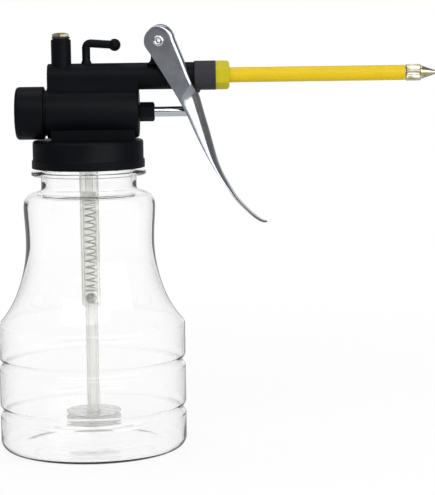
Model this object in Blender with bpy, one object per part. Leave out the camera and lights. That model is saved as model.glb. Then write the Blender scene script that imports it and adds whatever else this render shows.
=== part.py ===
"""Trigger-pump oiler: a clear bottle, a black pump head, a pressed lever and a rigid spout.

Frame: metres, +Z up, origin where the bottle's axis meets the surface it stands on.
The spout points along +X, and the X-Z plane is the plane of symmetry.
"""
from math import atan2, cos, hypot, pi, radians, sin, sqrt, tan

import bmesh
import bpy
from mathutils import Matrix, Vector
from mathutils.geometry import interpolate_bezier

MM = 0.001
GAP = 0.3 * MM                      # between pieces that touch

# Bottle
BOTTLE_DIAMETER = 73.4 * MM
BOTTLE_WALL = 1.0 * MM
HEEL_RADIUS = 4.0 * MM
BAND_TOP = 48.4 * MM                # where the straight body ends
BAND_EDGE = 1.3 * MM                # step in from the body to the foot of the bell
GROOVE_HEIGHTS = (15.6 * MM, 34.5 * MM)
GROOVE_DEPTH = 1.4 * MM
GROOVE_WIDTH = 5.2 * MM
WAIST_DIAMETER = 50.2 * MM
WAIST_HEIGHT = 82.0 * MM
SHOULDER_DIAMETER = 51.4 * MM
SHOULDER_HEIGHT = 95.6 * MM
NECK_FOOT = 103.2 * MM              # where the neck leaves the shoulder
NECK_RING_WIDTH = 3.75 * MM
NECK_RING_HEIGHT = 108.0 * MM
NECK_RING_THICKNESS = 1.4 * MM
FINISH_DIAMETER = 36.4 * MM         # the part of the neck inside the collar
FINISH_STEP = 0.4 * MM
NECK_WALL = 1.6 * MM
RIM_HEIGHT = 118.3 * MM
PUSH_UP = 0.9 * MM                  # recess between the base's pad and standing ring
BASE_PAD_DIAMETER = 18.0 * MM
STANDING_RING_WIDTH = 4.0 * MM
BASE_RAMP = 1.5 * MM

# Screw collar and deck of the pump head
THREAD_ROOM = 1.0 * MM
COLLAR_WALL = 2.4 * MM
COLLAR_EDGE = 1.0 * MM
COLLAR_FOOT_STEP = 0.45 * MM
COLLAR_FOOT_HEIGHT = 3.2 * MM
COLLAR_CLEARANCE = 1.4 * MM         # between the collar and the bottle's neck ring
DECK_THICKNESS = 1.6 * MM
GASKET_THICKNESS = 1.0 * MM
GASKET_MARGIN = 0.3 * MM
VENT_DIAMETER = 1.4 * MM
VENT_OFFSET = 14.0 * MM

# Pump cylinder, along X
PUMP_BORE = 14.0 * MM
PUMP_WALL = 2.95 * MM
PUMP_FRONT = 20.2 * MM
PUMP_REAR = -15.4 * MM
PUMP_FRONT_WALL = 5.6 * MM
PUMP_EDGE = 1.0 * MM
PEDESTAL_WIDTH = 15.0 * MM
PEDESTAL_MARGIN = 1.6 * MM
REAR_NECK_WALL = 1.9 * MM
REAR_NECK_LENGTH = 8.8 * MM

# Rear end cap
CAP_SIDE_WALL = 1.1 * MM
CAP_WALL = 1.8 * MM
CAP_EDGE = 1.4 * MM
CAP_STANDOFF = 1.2 * MM             # bare neck left between the cap and the cylinder
CAP_SEAL_THICKNESS = 1.1 * MM
CAP_SEAL_WIDTH = 1.4 * MM

# Outlet barrel, along X above the pump
BARREL_DIAMETER = 10.5 * MM
BARREL_SINK = 1.35 * MM             # how far the barrel dips into the cylinder's outline
BARREL_REAR = -15.1 * MM
BARREL_FRONT = 50.15 * MM
BARREL_BORE = 3.5 * MM
BARREL_EDGE = 0.4 * MM
MOUTH_WALL = 1.1 * MM
MOUTH_LENGTH = 8.2 * MM
MOUTH_DEPTH = 10.7 * MM
WEB_WIDTH = 10.2 * MM
WEB_INSET = 0.3 * MM

# Valve stub on the barrel
BALL_DIAMETER = 4.4 * MM
CHAMBER_ROOM = 0.55 * MM            # between a check ball and its bore
STUB_WALL = 1.15 * MM
STUB_OFFSET = -9.7 * MM
STUB_RISE = 14.75 * MM              # top of the stub above the barrel axis
STUB_EDGE = 0.5 * MM
VALVE_SEAT_BORE = 2.4 * MM
VALVE_SEAT_DROP = 2.2 * MM          # seat below the barrel axis
PLUG_SHANK_LENGTH = 5.6 * MM
PLUG_HEAD_STEP = 0.2 * MM           # stub's rim that shows round the plug's corners
PLUG_HEAD_HEIGHT = 1.5 * MM
WASHER_THICKNESS = 0.4 * MM

# Hanging hook on the barrel
HOOK_OFFSET = 0.0 * MM
HOOK_ROD = 3.2 * MM
HOOK_RISE = 12.9 * MM               # arm above the barrel axis
HOOK_REACH = 11.1 * MM
HOOK_DIP = 0.7 * MM
HOOK_BEND = 1.7 * MM
HOOK_BALL = 4.9 * MM

# Piston, rod and gland
ROD_DIAMETER = 4.0 * MM
PISTON_REST = 2.3 * MM              # from the cylinder's front wall back to the piston
PISTON_LENGTH = 8.0 * MM
PISTON_CLEARANCE = 0.3 * MM
PISTON_GROOVE_LENGTH = 2.2 * MM
PISTON_GROOVE_DEPTH = 1.6 * MM
ROD_INSET = 1.8 * MM                # rod's end behind the piston's face
SEAL_CLEARANCE = 0.15 * MM
ROD_SEAL_THICKNESS = 1.5 * MM
ROD_SEAL_WIDTH = 0.9 * MM
GLAND_POCKET_DEPTH = 4.2 * MM
GLAND_FLANGE = 0.6 * MM             # head's corners beyond the pocket
GLAND_HEAD_LENGTH = 6.0 * MM

# Spout
SPOUT_DIAMETER = 5.9 * MM
SPOUT_WALL = 1.2 * MM
SPOUT_LENGTH = 82.0 * MM
SPOUT_FLANGE_WIDTH = 1.25 * MM
SPOUT_FLANGE_THICKNESS = 1.5 * MM
SPOUT_FLANGE_ROOM = 0.4 * MM
SPOUT_SEAL_THICKNESS = 1.5 * MM
SPOUT_SEAL_INSET = 0.5 * MM
SPOUT_NUT_LENGTH = 5.3 * MM
TIP_BAND_STEP = 0.25 * MM           # band proud of the spout
TIP_BAND_LENGTH = 5.8 * MM
TIP_CONE_BASE = 5.2 * MM
TIP_CONE_LENGTH = 5.4 * MM
TIP_POINT_DIAMETER = 1.7 * MM
TIP_POINT_LENGTH = 2.4 * MM
TIP_BORE = 0.8 * MM
TIP_SPIGOT_LENGTH = 4.5 * MM
TIP_KNURLS = 22
TIP_KNURL_DEPTH = 0.3 * MM

# Pivot of the lever
PIVOT_X = 28.2 * MM
PIVOT_RISE = 13.65 * MM             # pivot above the barrel axis
LUG_LENGTH = 6.0 * MM
LUG_HALF_WIDTH = 4.4 * MM
LUG_FILLET = 1.0 * MM
RIVET_SHANK = 2.9 * MM
RIVET_HEAD = 4.2 * MM
RIVET_BORE = 1.8 * MM
RIVET_HEAD_HEIGHT = 0.5 * MM

# Lever: a pressed channel that narrows into a curved tail. Each row is the rear edge and
# the front face, forwards and down from the pivot as shares of the lever's reach and drop,
# then the share of its full width.
LEVER_REACH = 41.3 * MM
LEVER_DROP = 71.0 * MM
LEVER_SHEET = 1.0 * MM
LEVER_SIDE_CLEARANCE = 0.6 * MM     # between a cheek and the barrel's mouth
LEVER_HEAD_RADIUS = 5.5 * MM
LEVER_LIP = 0.9 * MM
LEVER_LIP_BEND = 1.2 * MM
LEVER_CHANNEL_BEND = 5.0 * MM
LEVER_HEAD_ROWS = ((128, 118), (146, 96), (164, 74), (184, 50), (204, 25))
LEVER_NECK_ROWS = (
    ((-0.075, 0.072), (0.157, -0.006), 1.0),
    ((0.022, 0.162), (0.223, 0.089), 1.0),
    ((0.116, 0.252), (0.283, 0.183), 1.0),
    ((0.151, 0.288), (0.320, 0.240), 1.0),
)
LEVER_CHANNEL_ROWS = (
    ((0.180, 0.318), (0.368, 0.289), 1.0),
    ((0.254, 0.400), (0.421, 0.400), 1.0),
    ((0.324, 0.493), (0.465, 0.490), 1.0),
    ((0.392, 0.577), (0.504, 0.577), 1.0),
    ((0.458, 0.651), (0.540, 0.654), 1.0),
    ((0.530, 0.723), (0.588, 0.724), 1.0),
    ((0.625, 0.806), (0.656, 0.797), 1.0),
    ((0.707, 0.870), (0.726, 0.863), 0.97),
    ((0.814, 0.937), (0.831, 0.930), 0.88),
    ((0.896, 0.979), (0.908, 0.970), 0.70),
    ((0.954, 0.999), (0.961, 0.990), 0.50),
    ((0.998, 1.003), (1.000, 0.996), 0.26),
)

# Springs
RETURN_SPRING_ROOM = 1.5 * MM       # between the spring and the cylinder's bore
RETURN_SPRING_WIRE = 1.0 * MM
RETURN_SPRING_TURNS = 8
VALVE_SPRING_ROOM = 0.4 * MM        # between a valve spring and its bore
INLET_SPRING_WIRE = 0.55 * MM
INLET_SPRING_TURNS = 17
OUTLET_SPRING_WIRE = 0.4 * MM
OUTLET_SPRING_TURNS = 5

# Tubes and strainer inside the bottle
VALVE_TUBE_WALL = 0.95 * MM
VALVE_TUBE_LENGTH = 66.4 * MM
VALVE_TUBE_SOCKET = 2.7 * MM        # how far the tube sits in the deck
SPRING_SPACE = 44.6 * MM            # from the suction tube's end up to the spring's ledge
INLET_BORE = 3.0 * MM
INLET_CHANNEL_HEIGHT = 1.2 * MM     # flat channel from the tube to the port under the stub
SUCTION_TUBE_WALL = 0.8 * MM
SUCTION_TUBE_INSERT = 1.0 * MM
FOOT_DIAMETER = 21.8 * MM
FOOT_CLEARANCE = 8.1 * MM           # underside of the foot above the standing surface
FOOT_LOWER_HEIGHT = 1.8 * MM
FOOT_SLOT = 1.4 * MM
FOOT_UPPER_HEIGHT = 3.1 * MM
FOOT_RIM = 0.6 * MM
FOOT_FLARE = 2.5 * MM               # how far the rims stand out from the core
FOOT_POST_DIAMETER = 1.3 * MM
FOOT_POST_CIRCLE = 6.0 * MM

# Roundness of the turned shapes
FINE = 36
MEDIUM = 24
COARSE = 16

# Diameters that follow from the sizes above
NECK_BORE = FINISH_DIAMETER - 2 * NECK_WALL
NECK_DIAMETER = FINISH_DIAMETER + 2 * FINISH_STEP
NECK_RING_DIAMETER = NECK_DIAMETER + 2 * NECK_RING_WIDTH
COLLAR_BORE = FINISH_DIAMETER + 2 * THREAD_ROOM
COLLAR_DIAMETER = COLLAR_BORE + 2 * COLLAR_WALL
PUMP_DIAMETER = PUMP_BORE + 2 * PUMP_WALL
REAR_NECK_DIAMETER = PUMP_BORE + 2 * REAR_NECK_WALL
CAP_DIAMETER = REAR_NECK_DIAMETER + 2 * (GAP + CAP_SIDE_WALL)
VALVE_CHAMBER = BALL_DIAMETER + 2 * CHAMBER_ROOM
STUB_DIAMETER = VALVE_CHAMBER + 2 * STUB_WALL
PLUG_HEAD_WIDTH = STUB_DIAMETER - 2 * PLUG_HEAD_STEP
VALVE_TUBE_DIAMETER = VALVE_CHAMBER + 2 * VALVE_TUBE_WALL
SUCTION_TUBE_DIAMETER = VALVE_CHAMBER - 2 * GAP
SUCTION_TUBE_BORE = SUCTION_TUBE_DIAMETER - 2 * SUCTION_TUBE_WALL
ROD_SEAL_DIAMETER = ROD_DIAMETER + 2 * ROD_SEAL_WIDTH
GLAND_POCKET = ROD_SEAL_DIAMETER + 2 * GAP
SPOUT_BORE = SPOUT_DIAMETER - 2 * SPOUT_WALL
SPOUT_FLANGE_DIAMETER = SPOUT_DIAMETER + 2 * SPOUT_FLANGE_WIDTH
MOUTH_BORE = SPOUT_FLANGE_DIAMETER + 2 * SPOUT_FLANGE_ROOM
MOUTH_DIAMETER = MOUTH_BORE + 2 * MOUTH_WALL
LEVER_HALF_WIDTH = MOUTH_DIAMETER / 2 + LEVER_SIDE_CLEARANCE + LEVER_SHEET
LEVER_GAP_HALF = LEVER_HALF_WIDTH - LEVER_SHEET

# Heights and places that follow
GASKET_BASE = RIM_HEIGHT + GAP
DECK_UNDERSIDE = GASKET_BASE + GASKET_THICKNESS + GAP
DECK_TOP = DECK_UNDERSIDE + DECK_THICKNESS
COLLAR_BASE = NECK_RING_HEIGHT + NECK_RING_THICKNESS + COLLAR_CLEARANCE
PUMP_AXIS = DECK_TOP + CAP_DIAMETER / 2 + GAP
PUMP_FRONT_BORE = PUMP_FRONT - PUMP_FRONT_WALL
PISTON_FACE = PUMP_FRONT_BORE - PISTON_REST - PISTON_LENGTH
REAR_NECK_END = PUMP_REAR - REAR_NECK_LENGTH
CAP_OPEN_END = PUMP_REAR - CAP_STANDOFF
CAP_FLOOR = REAR_NECK_END - GAP - CAP_SEAL_THICKNESS - GAP
CAP_REAR = CAP_FLOOR - CAP_WALL
BARREL_AXIS = PUMP_AXIS + PUMP_DIAMETER / 2 - BARREL_SINK + BARREL_DIAMETER / 2
STUB_TOP = BARREL_AXIS + STUB_RISE
PIVOT_Z = BARREL_AXIS + PIVOT_RISE
VALVE_SEAT = BARREL_AXIS - VALVE_SEAT_DROP
VALVE_TUBE_TOP = DECK_UNDERSIDE + VALVE_TUBE_SOCKET
VALVE_TUBE_FOOT = VALVE_TUBE_TOP - VALVE_TUBE_LENGTH
SUCTION_TUBE_TOP = VALVE_TUBE_FOOT + SUCTION_TUBE_INSERT
SPRING_LEDGE = SUCTION_TUBE_TOP + SPRING_SPACE
FOOT_LOWER_TOP = FOOT_CLEARANCE + FOOT_LOWER_HEIGHT
FOOT_UPPER_BASE = FOOT_LOWER_TOP + FOOT_SLOT
FOOT_TOP = FOOT_UPPER_BASE + FOOT_UPPER_HEIGHT
MOUTH_SEAT = BARREL_FRONT - MOUTH_DEPTH
SPOUT_REAR = MOUTH_SEAT + GAP + SPOUT_SEAL_THICKNESS + GAP
SPOUT_TIP_SEAT = SPOUT_REAR + SPOUT_LENGTH

# These swap a shape's own axes so that its Z lies along +X or along +Y
ALONG_X = Matrix(((0, 0, 1, 0), (1, 0, 0, 0), (0, 1, 0, 0), (0, 0, 0, 1)))
ALONG_Y = Matrix(((0, 1, 0, 0), (0, 0, 1, 0), (1, 0, 0, 0), (0, 0, 0, 1)))


def start_empty():
    for item in list(bpy.data.objects):
        bpy.data.objects.remove(item, do_unlink=True)


def plastic_or_metal(name, colour, roughness, metallic=0.0, alpha=1.0):
    """One Principled material."""
    material = bpy.data.materials.new(name)
    material.use_nodes = True
    shader = material.node_tree.nodes["Principled BSDF"]
    shader.inputs["Base Color"].default_value = (*colour, 1.0)
    shader.inputs["Roughness"].default_value = roughness
    shader.inputs["Metallic"].default_value = metallic
    shader.inputs["Alpha"].default_value = alpha
    return material


def place(name, mesh, material=None, at=(0, 0, 0), turn=None, parent=None, sharp=35):
    """Put a mesh in the scene as a named object, shaded smooth with sharp edges kept."""
    if turn:
        mesh.transform(turn)
    mesh.name = name
    mesh.shade_smooth()
    mesh.set_sharp_from_angle(angle=radians(sharp))
    item = bpy.data.objects.new(name, mesh)
    if material:
        mesh.materials.append(material)
    item.location = at
    bpy.context.scene.collection.objects.link(item)
    if parent:
        item.parent = parent
        item.location = Vector(at) - parent.location
    return item


def axis_point(name, at):
    """An empty that stands on a joint's axis."""
    empty = bpy.data.objects.new(name, None)
    empty.empty_display_size = 8 * MM
    empty.location = at
    bpy.context.scene.collection.objects.link(empty)
    return empty


def boolean(target, tool, operation):
    """Join, cut or intersect the target with a tool that isn't a piece itself."""
    tool.hide_render = True
    tool.display_type = "WIRE"
    step = target.modifiers.new(tool.name, "BOOLEAN")
    step.operation = operation
    step.solver = "EXACT"
    step.object = tool
    return target


def mesh_from(bm):
    bmesh.ops.recalc_face_normals(bm, faces=bm.faces)
    mesh = bpy.data.meshes.new("shape")
    bm.to_mesh(mesh)
    bm.free()
    return mesh


def bridge(bm, first, second):
    """Join two rings of vertices, where either may be a single point on the axis."""
    count = max(len(first), len(second))
    for k in range(count):
        m = (k + 1) % count
        if len(first) == 1:
            bm.faces.new((first[0], second[m], second[k]))
        elif len(second) == 1:
            bm.faces.new((first[k], first[m], second[0]))
        else:
            bm.faces.new((first[k], first[m], second[m], second[k]))


def turned(section, steps=MEDIUM, phase=0.5):
    """Turn a section of (radius, height) points round Z into a closed solid."""
    bm = bmesh.new()
    angles = [2 * pi * (k + phase) / steps for k in range(steps)]
    points = list(section)
    flat_start = points[0][0] == 0 and points[0][1] == points[1][1]
    flat_end = points[-1][0] == 0 and points[-1][1] == points[-2][1]
    if flat_start:
        points = points[1:]
    if flat_end:
        points = points[:-1]
    rings = []
    for radius, height in points:
        if radius < 0.001 * MM:
            rings.append([bm.verts.new((0, 0, height))])
        else:
            rings.append([bm.verts.new((radius * cos(a), radius * sin(a), height)) for a in angles])
    for first, second in zip(rings, rings[1:]):
        bridge(bm, first, second)
    if flat_start:
        bm.faces.new(rings[0])
    if flat_end:
        bm.faces.new(rings[-1])
    if section[0][0] > 0 and section[-1][0] > 0:
        bridge(bm, rings[-1], rings[0])
    return mesh_from(bm)


def ring(inner, outer, low, high, steps=MEDIUM):
    """A plain turned ring between two diameters."""
    section = [(inner / 2, high), (outer / 2, high), (outer / 2, low), (inner / 2, low)]
    return turned(section, steps)


def rod(diameter, low, high, steps=MEDIUM, edge=0.0):
    """A turned rod, with the top edge chamfered."""
    radius = diameter / 2
    section = [(0, high), (radius - edge, high)]
    if edge:
        section.append((radius, high - edge))
    section += [(radius, low), (0, low)]
    return turned(section, steps)


def prism(outline, low, high):
    """Extrude a closed outline of (x, y) points along Z."""
    bm = bmesh.new()
    face = bm.faces.new([bm.verts.new((x, y, low)) for x, y in outline])
    raised = bmesh.ops.extrude_face_region(bm, geom=[face])["geom"]
    lifted = [item for item in raised if isinstance(item, bmesh.types.BMVert)]
    bmesh.ops.translate(bm, verts=lifted, vec=(0, 0, high - low))
    return mesh_from(bm)


def block(low, high):
    """A box between two corners."""
    outline = [(low[0], low[1]), (high[0], low[1]), (high[0], high[1]), (low[0], high[1])]
    return prism(outline, low[2], high[2])


def polygon(corners, width, turn=0.0):
    """A regular outline with its corners on a circle of the given width."""
    step = 2 * pi / corners
    return [(width / 2 * cos(turn + k * step), width / 2 * sin(turn + k * step))
            for k in range(corners)]


def arc(centre, radius, start, end, count):
    """Points on an arc, angles in degrees."""
    angles = [radians(start + (end - start) * k / count) for k in range(count + 1)]
    return [(centre[0] + radius * cos(a), centre[1] + radius * sin(a)) for a in angles]


def curve(start, handle_a, handle_b, end, count):
    """Points on a cubic curve, without its first."""
    flat = [Vector((x, y, 0)) for x, y in (start, handle_a, handle_b, end)]
    return [(p.x, p.y) for p in interpolate_bezier(*flat, count + 1)[1:]]


def coil(diameter, wire, turns, length, steps=12, sides=5):
    """A compression spring along Z with closed end turns."""
    middle = (diameter - wire) / 2
    closed = 1.35 * wire
    span = length - wire
    open_pitch = (span - 2 * closed) / (turns - 2)
    bm = bmesh.new()
    rings = []
    for k in range(turns * steps + 1):
        turn = k / steps
        if turn < 1:
            height = closed * turn
        elif turn > turns - 1:
            height = span - closed * (turns - turn)
        else:
            height = closed + open_pitch * (turn - 1)
        out = Vector((cos(2 * pi * turn), sin(2 * pi * turn), 0))
        centre = out * middle + Vector((0, 0, height + wire / 2))
        section = []
        for s in range(sides):
            a = 2 * pi * s / sides
            offset = out * cos(a) + Vector((0, 0, sin(a)))
            section.append(bm.verts.new(centre + offset * wire / 2))
        rings.append(section)
    for below, above in zip(rings, rings[1:]):
        for s in range(sides):
            t = (s + 1) % sides
            bm.faces.new((below[s], below[t], above[t], above[s]))
    bm.faces.new(rings[0])
    bm.faces.new(rings[-1])
    return mesh_from(bm)


def tube_along(path, radii, sides):
    """A round bar along points in the X-Z plane, with a radius at each point."""
    bm = bmesh.new()
    rings = []
    for k, (x, z) in enumerate(path):
        before = path[max(k - 1, 0)]
        after = path[min(k + 1, len(path) - 1)]
        direction = Vector((after[0] - before[0], 0, after[1] - before[1])).normalized()
        side = Vector((-direction.z, 0, direction.x))
        section = []
        for s in range(sides):
            a = 2 * pi * s / sides
            offset = side * cos(a) + Vector((0, 1, 0)) * sin(a)
            section.append(bm.verts.new(Vector((x, 0, z)) + offset * radii[k]))
        rings.append(section)
    for below, above in zip(rings, rings[1:]):
        for s in range(sides):
            t = (s + 1) % sides
            bm.faces.new((below[s], below[t], above[t], above[s]))
    bm.faces.new(rings[0])
    bm.faces.new(rings[-1])
    return mesh_from(bm)


def bottle_side(groove_steps, curve_steps):
    """The bottle's section, from the base's centre up to the foot of the neck."""
    body = BOTTLE_DIAMETER / 2
    pad = BASE_PAD_DIAMETER / 2
    stand = body - HEEL_RADIUS - STANDING_RING_WIDTH
    points = [(0, 0), (pad, 0), (pad + BASE_RAMP, PUSH_UP), (stand - BASE_RAMP, PUSH_UP), (stand, 0)]
    points += arc((body - HEEL_RADIUS, HEEL_RADIUS), HEEL_RADIUS, -90, 0, 3)
    for height in GROOVE_HEIGHTS:
        for k in range(-groove_steps, groove_steps + 1):
            t = k / groove_steps
            depth = GROOVE_DEPTH * (1 + cos(pi * t)) / 2
            points.append((body - depth, height + GROOVE_WIDTH / 2 * t))
    bell = (body - BAND_EDGE, BAND_TOP + 2 * BAND_EDGE)
    points.append((body, BAND_TOP))
    points += curve((body, BAND_TOP), (body, BAND_TOP + BAND_EDGE),
                    (bell[0] + 0.7 * BAND_EDGE, bell[1] - 0.8 * BAND_EDGE), bell, 2)
    waist = (WAIST_DIAMETER / 2, WAIST_HEIGHT)
    bell_rise = waist[1] - bell[1]
    bell_taper = bell[0] - waist[0]
    points += curve(bell, (bell[0] - 0.56 * bell_taper, bell[1] + 0.21 * bell_rise),
                    (waist[0], waist[1] - 0.39 * bell_rise), waist, curve_steps)
    shoulder = (SHOULDER_DIAMETER / 2, SHOULDER_HEIGHT)
    rise = shoulder[1] - waist[1]
    points += curve(waist, (waist[0], waist[1] + 0.44 * rise),
                    (shoulder[0], shoulder[1] - 0.3 * rise), shoulder, 2)
    neck = (NECK_DIAMETER / 2, NECK_FOOT)
    top = NECK_FOOT - shoulder[1]
    step = shoulder[0] - neck[0]
    crown = (neck[0] + 0.33 * step, NECK_FOOT - 0.26 * top)
    points += curve(shoulder, (shoulder[0], shoulder[1] + 0.42 * top),
                    (crown[0] + 0.42 * step, crown[1] - 0.04 * top), crown, curve_steps // 2 + 1)
    points += curve(crown, (crown[0] - 0.18 * step, crown[1]), (neck[0], neck[1] - 0.17 * top), neck, 2)
    return points


def inset(points, wall):
    """The same section moved inwards by the wall."""
    moved = []
    for k, (x, y) in enumerate(points):
        before = points[max(k - 1, 0)]
        after = points[min(k + 1, len(points) - 1)]
        along = Vector((after[0] - before[0], after[1] - before[1])).normalized()
        moved.append((max(x - along.y * wall, 0), y + along.x * wall))
    return moved


def make_bottle(look):
    outside = bottle_side(2, 5)
    bore = NECK_BORE / 2
    finish = FINISH_DIAMETER / 2
    flange = NECK_RING_DIAMETER / 2
    ring_top = NECK_RING_HEIGHT + NECK_RING_THICKNESS
    edge = NECK_RING_THICKNESS / 3
    neck = [
        (NECK_DIAMETER / 2, NECK_RING_HEIGHT),
        (flange - edge, NECK_RING_HEIGHT),
        (flange, NECK_RING_HEIGHT + edge),
        (flange, ring_top - edge),
        (flange - edge, ring_top),
        (finish, ring_top),
        (finish, RIM_HEIGHT),
        (bore, RIM_HEIGHT),
        (bore, NECK_FOOT),
    ]
    inside = inset(bottle_side(1, 3)[:-2], BOTTLE_WALL)
    section = outside + neck + inside[::-1]
    return place("bottle", turned(section, FINE - 4, 0), look)


def head_shape(name, mesh, at=(0, 0, 0), turn=None):
    """A shape that the moulding is built from."""
    return place("form_" + name, mesh, at=at, turn=turn)


def hook_path():
    """The hook's middle line in the X-Z plane, from inside the barrel to the ball."""
    arm = BARREL_AXIS + HOOK_RISE
    end = (HOOK_OFFSET + HOOK_REACH, arm - HOOK_DIP)
    bend_centre = (HOOK_OFFSET + HOOK_BEND, arm - HOOK_BEND)
    barrel_top = BARREL_AXIS + BARREL_DIAMETER / 2
    stem = [(HOOK_OFFSET, barrel_top - 1.5 * MM), (HOOK_OFFSET, barrel_top + 0.2 * MM),
            (HOOK_OFFSET, barrel_top + 1.2 * MM)]
    return stem + arc(bend_centre, HOOK_BEND, 180, 90, 4) + [end]


def lug_outline():
    """Side view of the pivot lug, as (X, Z) points from inside the barrel round the pivot."""
    half = LUG_LENGTH / 2
    foot = BARREL_AXIS + BARREL_DIAMETER / 2
    sides = [(half + 1.6 * LUG_FILLET, foot - 0.6 * MM), (half + LUG_FILLET, foot),
             (half + 0.3 * LUG_FILLET, foot + 0.7 * LUG_FILLET), (half, foot + 1.8 * LUG_FILLET)]
    front = [(PIVOT_X + x, z) for x, z in sides]
    rear = [(PIVOT_X - x, z) for x, z in sides]
    return front + arc((PIVOT_X, PIVOT_Z), half, 0, 180, 8) + rear[::-1]


def side_plate(outline, half_width):
    """Extrude an outline of (X, Z) points to both sides of the X-Z plane."""
    flat = [(z, x) for x, z in outline]
    return prism(flat, -half_width, half_width)


def make_pump_head(look):
    radius = COLLAR_DIAMETER / 2
    foot = radius + COLLAR_FOOT_STEP
    ledge = COLLAR_BASE + COLLAR_FOOT_HEIGHT
    edge = COLLAR_EDGE
    collar = [(0, DECK_TOP), (radius - edge, DECK_TOP)]
    collar += arc((radius - edge, DECK_TOP - edge), edge, 60, 0, 2)
    collar += [
        (radius, ledge + 0.3 * MM),
        (foot - 0.3 * MM, ledge),
        (foot, ledge - 0.3 * MM),
        (foot, COLLAR_BASE),
        (COLLAR_BORE / 2, COLLAR_BASE),
        (COLLAR_BORE / 2, DECK_UNDERSIDE),
        (0, DECK_UNDERSIDE),
    ]
    head = place("pump_head", turned(collar, FINE), look)

    pump = PUMP_DIAMETER / 2
    neck = REAR_NECK_DIAMETER / 2
    cylinder = [(0, PUMP_FRONT), (pump - PUMP_EDGE, PUMP_FRONT)]
    cylinder += arc((pump - PUMP_EDGE, PUMP_FRONT - PUMP_EDGE), PUMP_EDGE, 60, 0, 2)
    cylinder += [(pump, PUMP_REAR), (neck, PUMP_REAR), (neck, REAR_NECK_END), (0, REAR_NECK_END)]
    pump_axis = (0, 0, PUMP_AXIS)
    boolean(head, head_shape("cylinder", turned(cylinder, FINE), pump_axis, ALONG_X), "UNION")

    pedestal = block((PUMP_REAR + PEDESTAL_MARGIN, -PEDESTAL_WIDTH / 2, DECK_TOP - DECK_THICKNESS / 2),
                     (PUMP_FRONT - PEDESTAL_MARGIN, PEDESTAL_WIDTH / 2, PUMP_AXIS - PUMP_DIAMETER / 4))
    boolean(head, head_shape("pedestal", pedestal), "UNION")
    web = block((PUMP_REAR + WEB_INSET, -WEB_WIDTH / 2, PUMP_AXIS + PUMP_BORE / 2 + MM),
                (PUMP_FRONT - WEB_INSET, WEB_WIDTH / 2, BARREL_AXIS))
    boolean(head, head_shape("web", web), "UNION")

    barrel = BARREL_DIAMETER / 2
    mouth = MOUTH_DIAMETER / 2
    mouth_start = BARREL_FRONT - MOUTH_LENGTH
    barrel_section = [
        (0, BARREL_FRONT),
        (mouth, BARREL_FRONT),
        (mouth, mouth_start),
        (barrel, mouth_start - BARREL_EDGE),
        (barrel, BARREL_REAR + BARREL_EDGE),
        (barrel - BARREL_EDGE, BARREL_REAR),
        (0, BARREL_REAR),
    ]
    barrel_axis = (0, 0, BARREL_AXIS)
    boolean(head, head_shape("barrel", turned(barrel_section, MEDIUM), barrel_axis, ALONG_X), "UNION")

    stub = rod(STUB_DIAMETER, BARREL_AXIS, STUB_TOP, COARSE + 4, STUB_EDGE)
    boolean(head, head_shape("stub", stub, (STUB_OFFSET, 0, 0)), "UNION")

    path = hook_path()
    radii = [HOOK_ROD * 0.75, HOOK_ROD * 0.62] + [HOOK_ROD / 2] * (len(path) - 2)
    boolean(head, head_shape("hook", tube_along(path, radii, 12)), "UNION")
    knob = turned([(HOOK_BALL / 2 * sin(pi * k / 7), HOOK_BALL / 2 * cos(pi * k / 7))
                   for k in range(8)], 12)
    boolean(head, head_shape("hook_ball", knob, (path[-1][0], 0, path[-1][1])), "UNION")

    lug = side_plate(lug_outline(), LUG_HALF_WIDTH)
    boolean(head, head_shape("lug", lug, turn=ALONG_Y), "UNION")
    reach = LEVER_GAP_HALF - GAP
    boss = turned([(0, reach), (LUG_LENGTH / 2, reach), (LUG_LENGTH / 2, -reach), (0, -reach)], COARSE)
    boolean(head, head_shape("lug_boss", boss, (PIVOT_X, 0, PIVOT_Z), ALONG_Y), "UNION")
    stop = side_plate(stop_outline(), BARREL_DIAMETER / 4)
    boolean(head, head_shape("stop", stop, turn=ALONG_Y), "UNION")

    pocket = PUMP_FRONT - GLAND_POCKET_DEPTH
    clearance = ROD_DIAMETER / 2 + GAP
    pump_bore = [
        (0, PUMP_FRONT + MM),
        (GLAND_POCKET / 2, PUMP_FRONT + MM),
        (GLAND_POCKET / 2, pocket),
        (clearance, pocket),
        (clearance, PUMP_FRONT_BORE),
        (PUMP_BORE / 2, PUMP_FRONT_BORE),
        (PUMP_BORE / 2, REAR_NECK_END - MM),
        (0, REAR_NECK_END - MM),
    ]
    boolean(head, head_shape("pump_bore", turned(pump_bore, MEDIUM), pump_axis, ALONG_X), "DIFFERENCE")

    chamber = [
        (0, STUB_TOP + MM),
        (VALVE_CHAMBER / 2, STUB_TOP + MM),
        (VALVE_CHAMBER / 2, VALVE_SEAT),
        (VALVE_SEAT_BORE / 2, VALVE_SEAT),
        (VALVE_SEAT_BORE / 2, PUMP_AXIS + PUMP_BORE / 4),
        (0, PUMP_AXIS + PUMP_BORE / 4),
    ]
    boolean(head, head_shape("chamber", turned(chamber, COARSE), (STUB_OFFSET, 0, 0)), "DIFFERENCE")

    outlet = [
        (0, BARREL_FRONT + MM),
        (MOUTH_BORE / 2, BARREL_FRONT + MM),
        (MOUTH_BORE / 2, MOUTH_SEAT),
        (BARREL_BORE / 2, MOUTH_SEAT),
        (BARREL_BORE / 2, STUB_OFFSET + VALVE_CHAMBER / 4),
        (0, STUB_OFFSET + VALVE_CHAMBER / 4),
    ]
    boolean(head, head_shape("outlet", turned(outlet, COARSE + 4), barrel_axis, ALONG_X), "DIFFERENCE")

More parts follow.
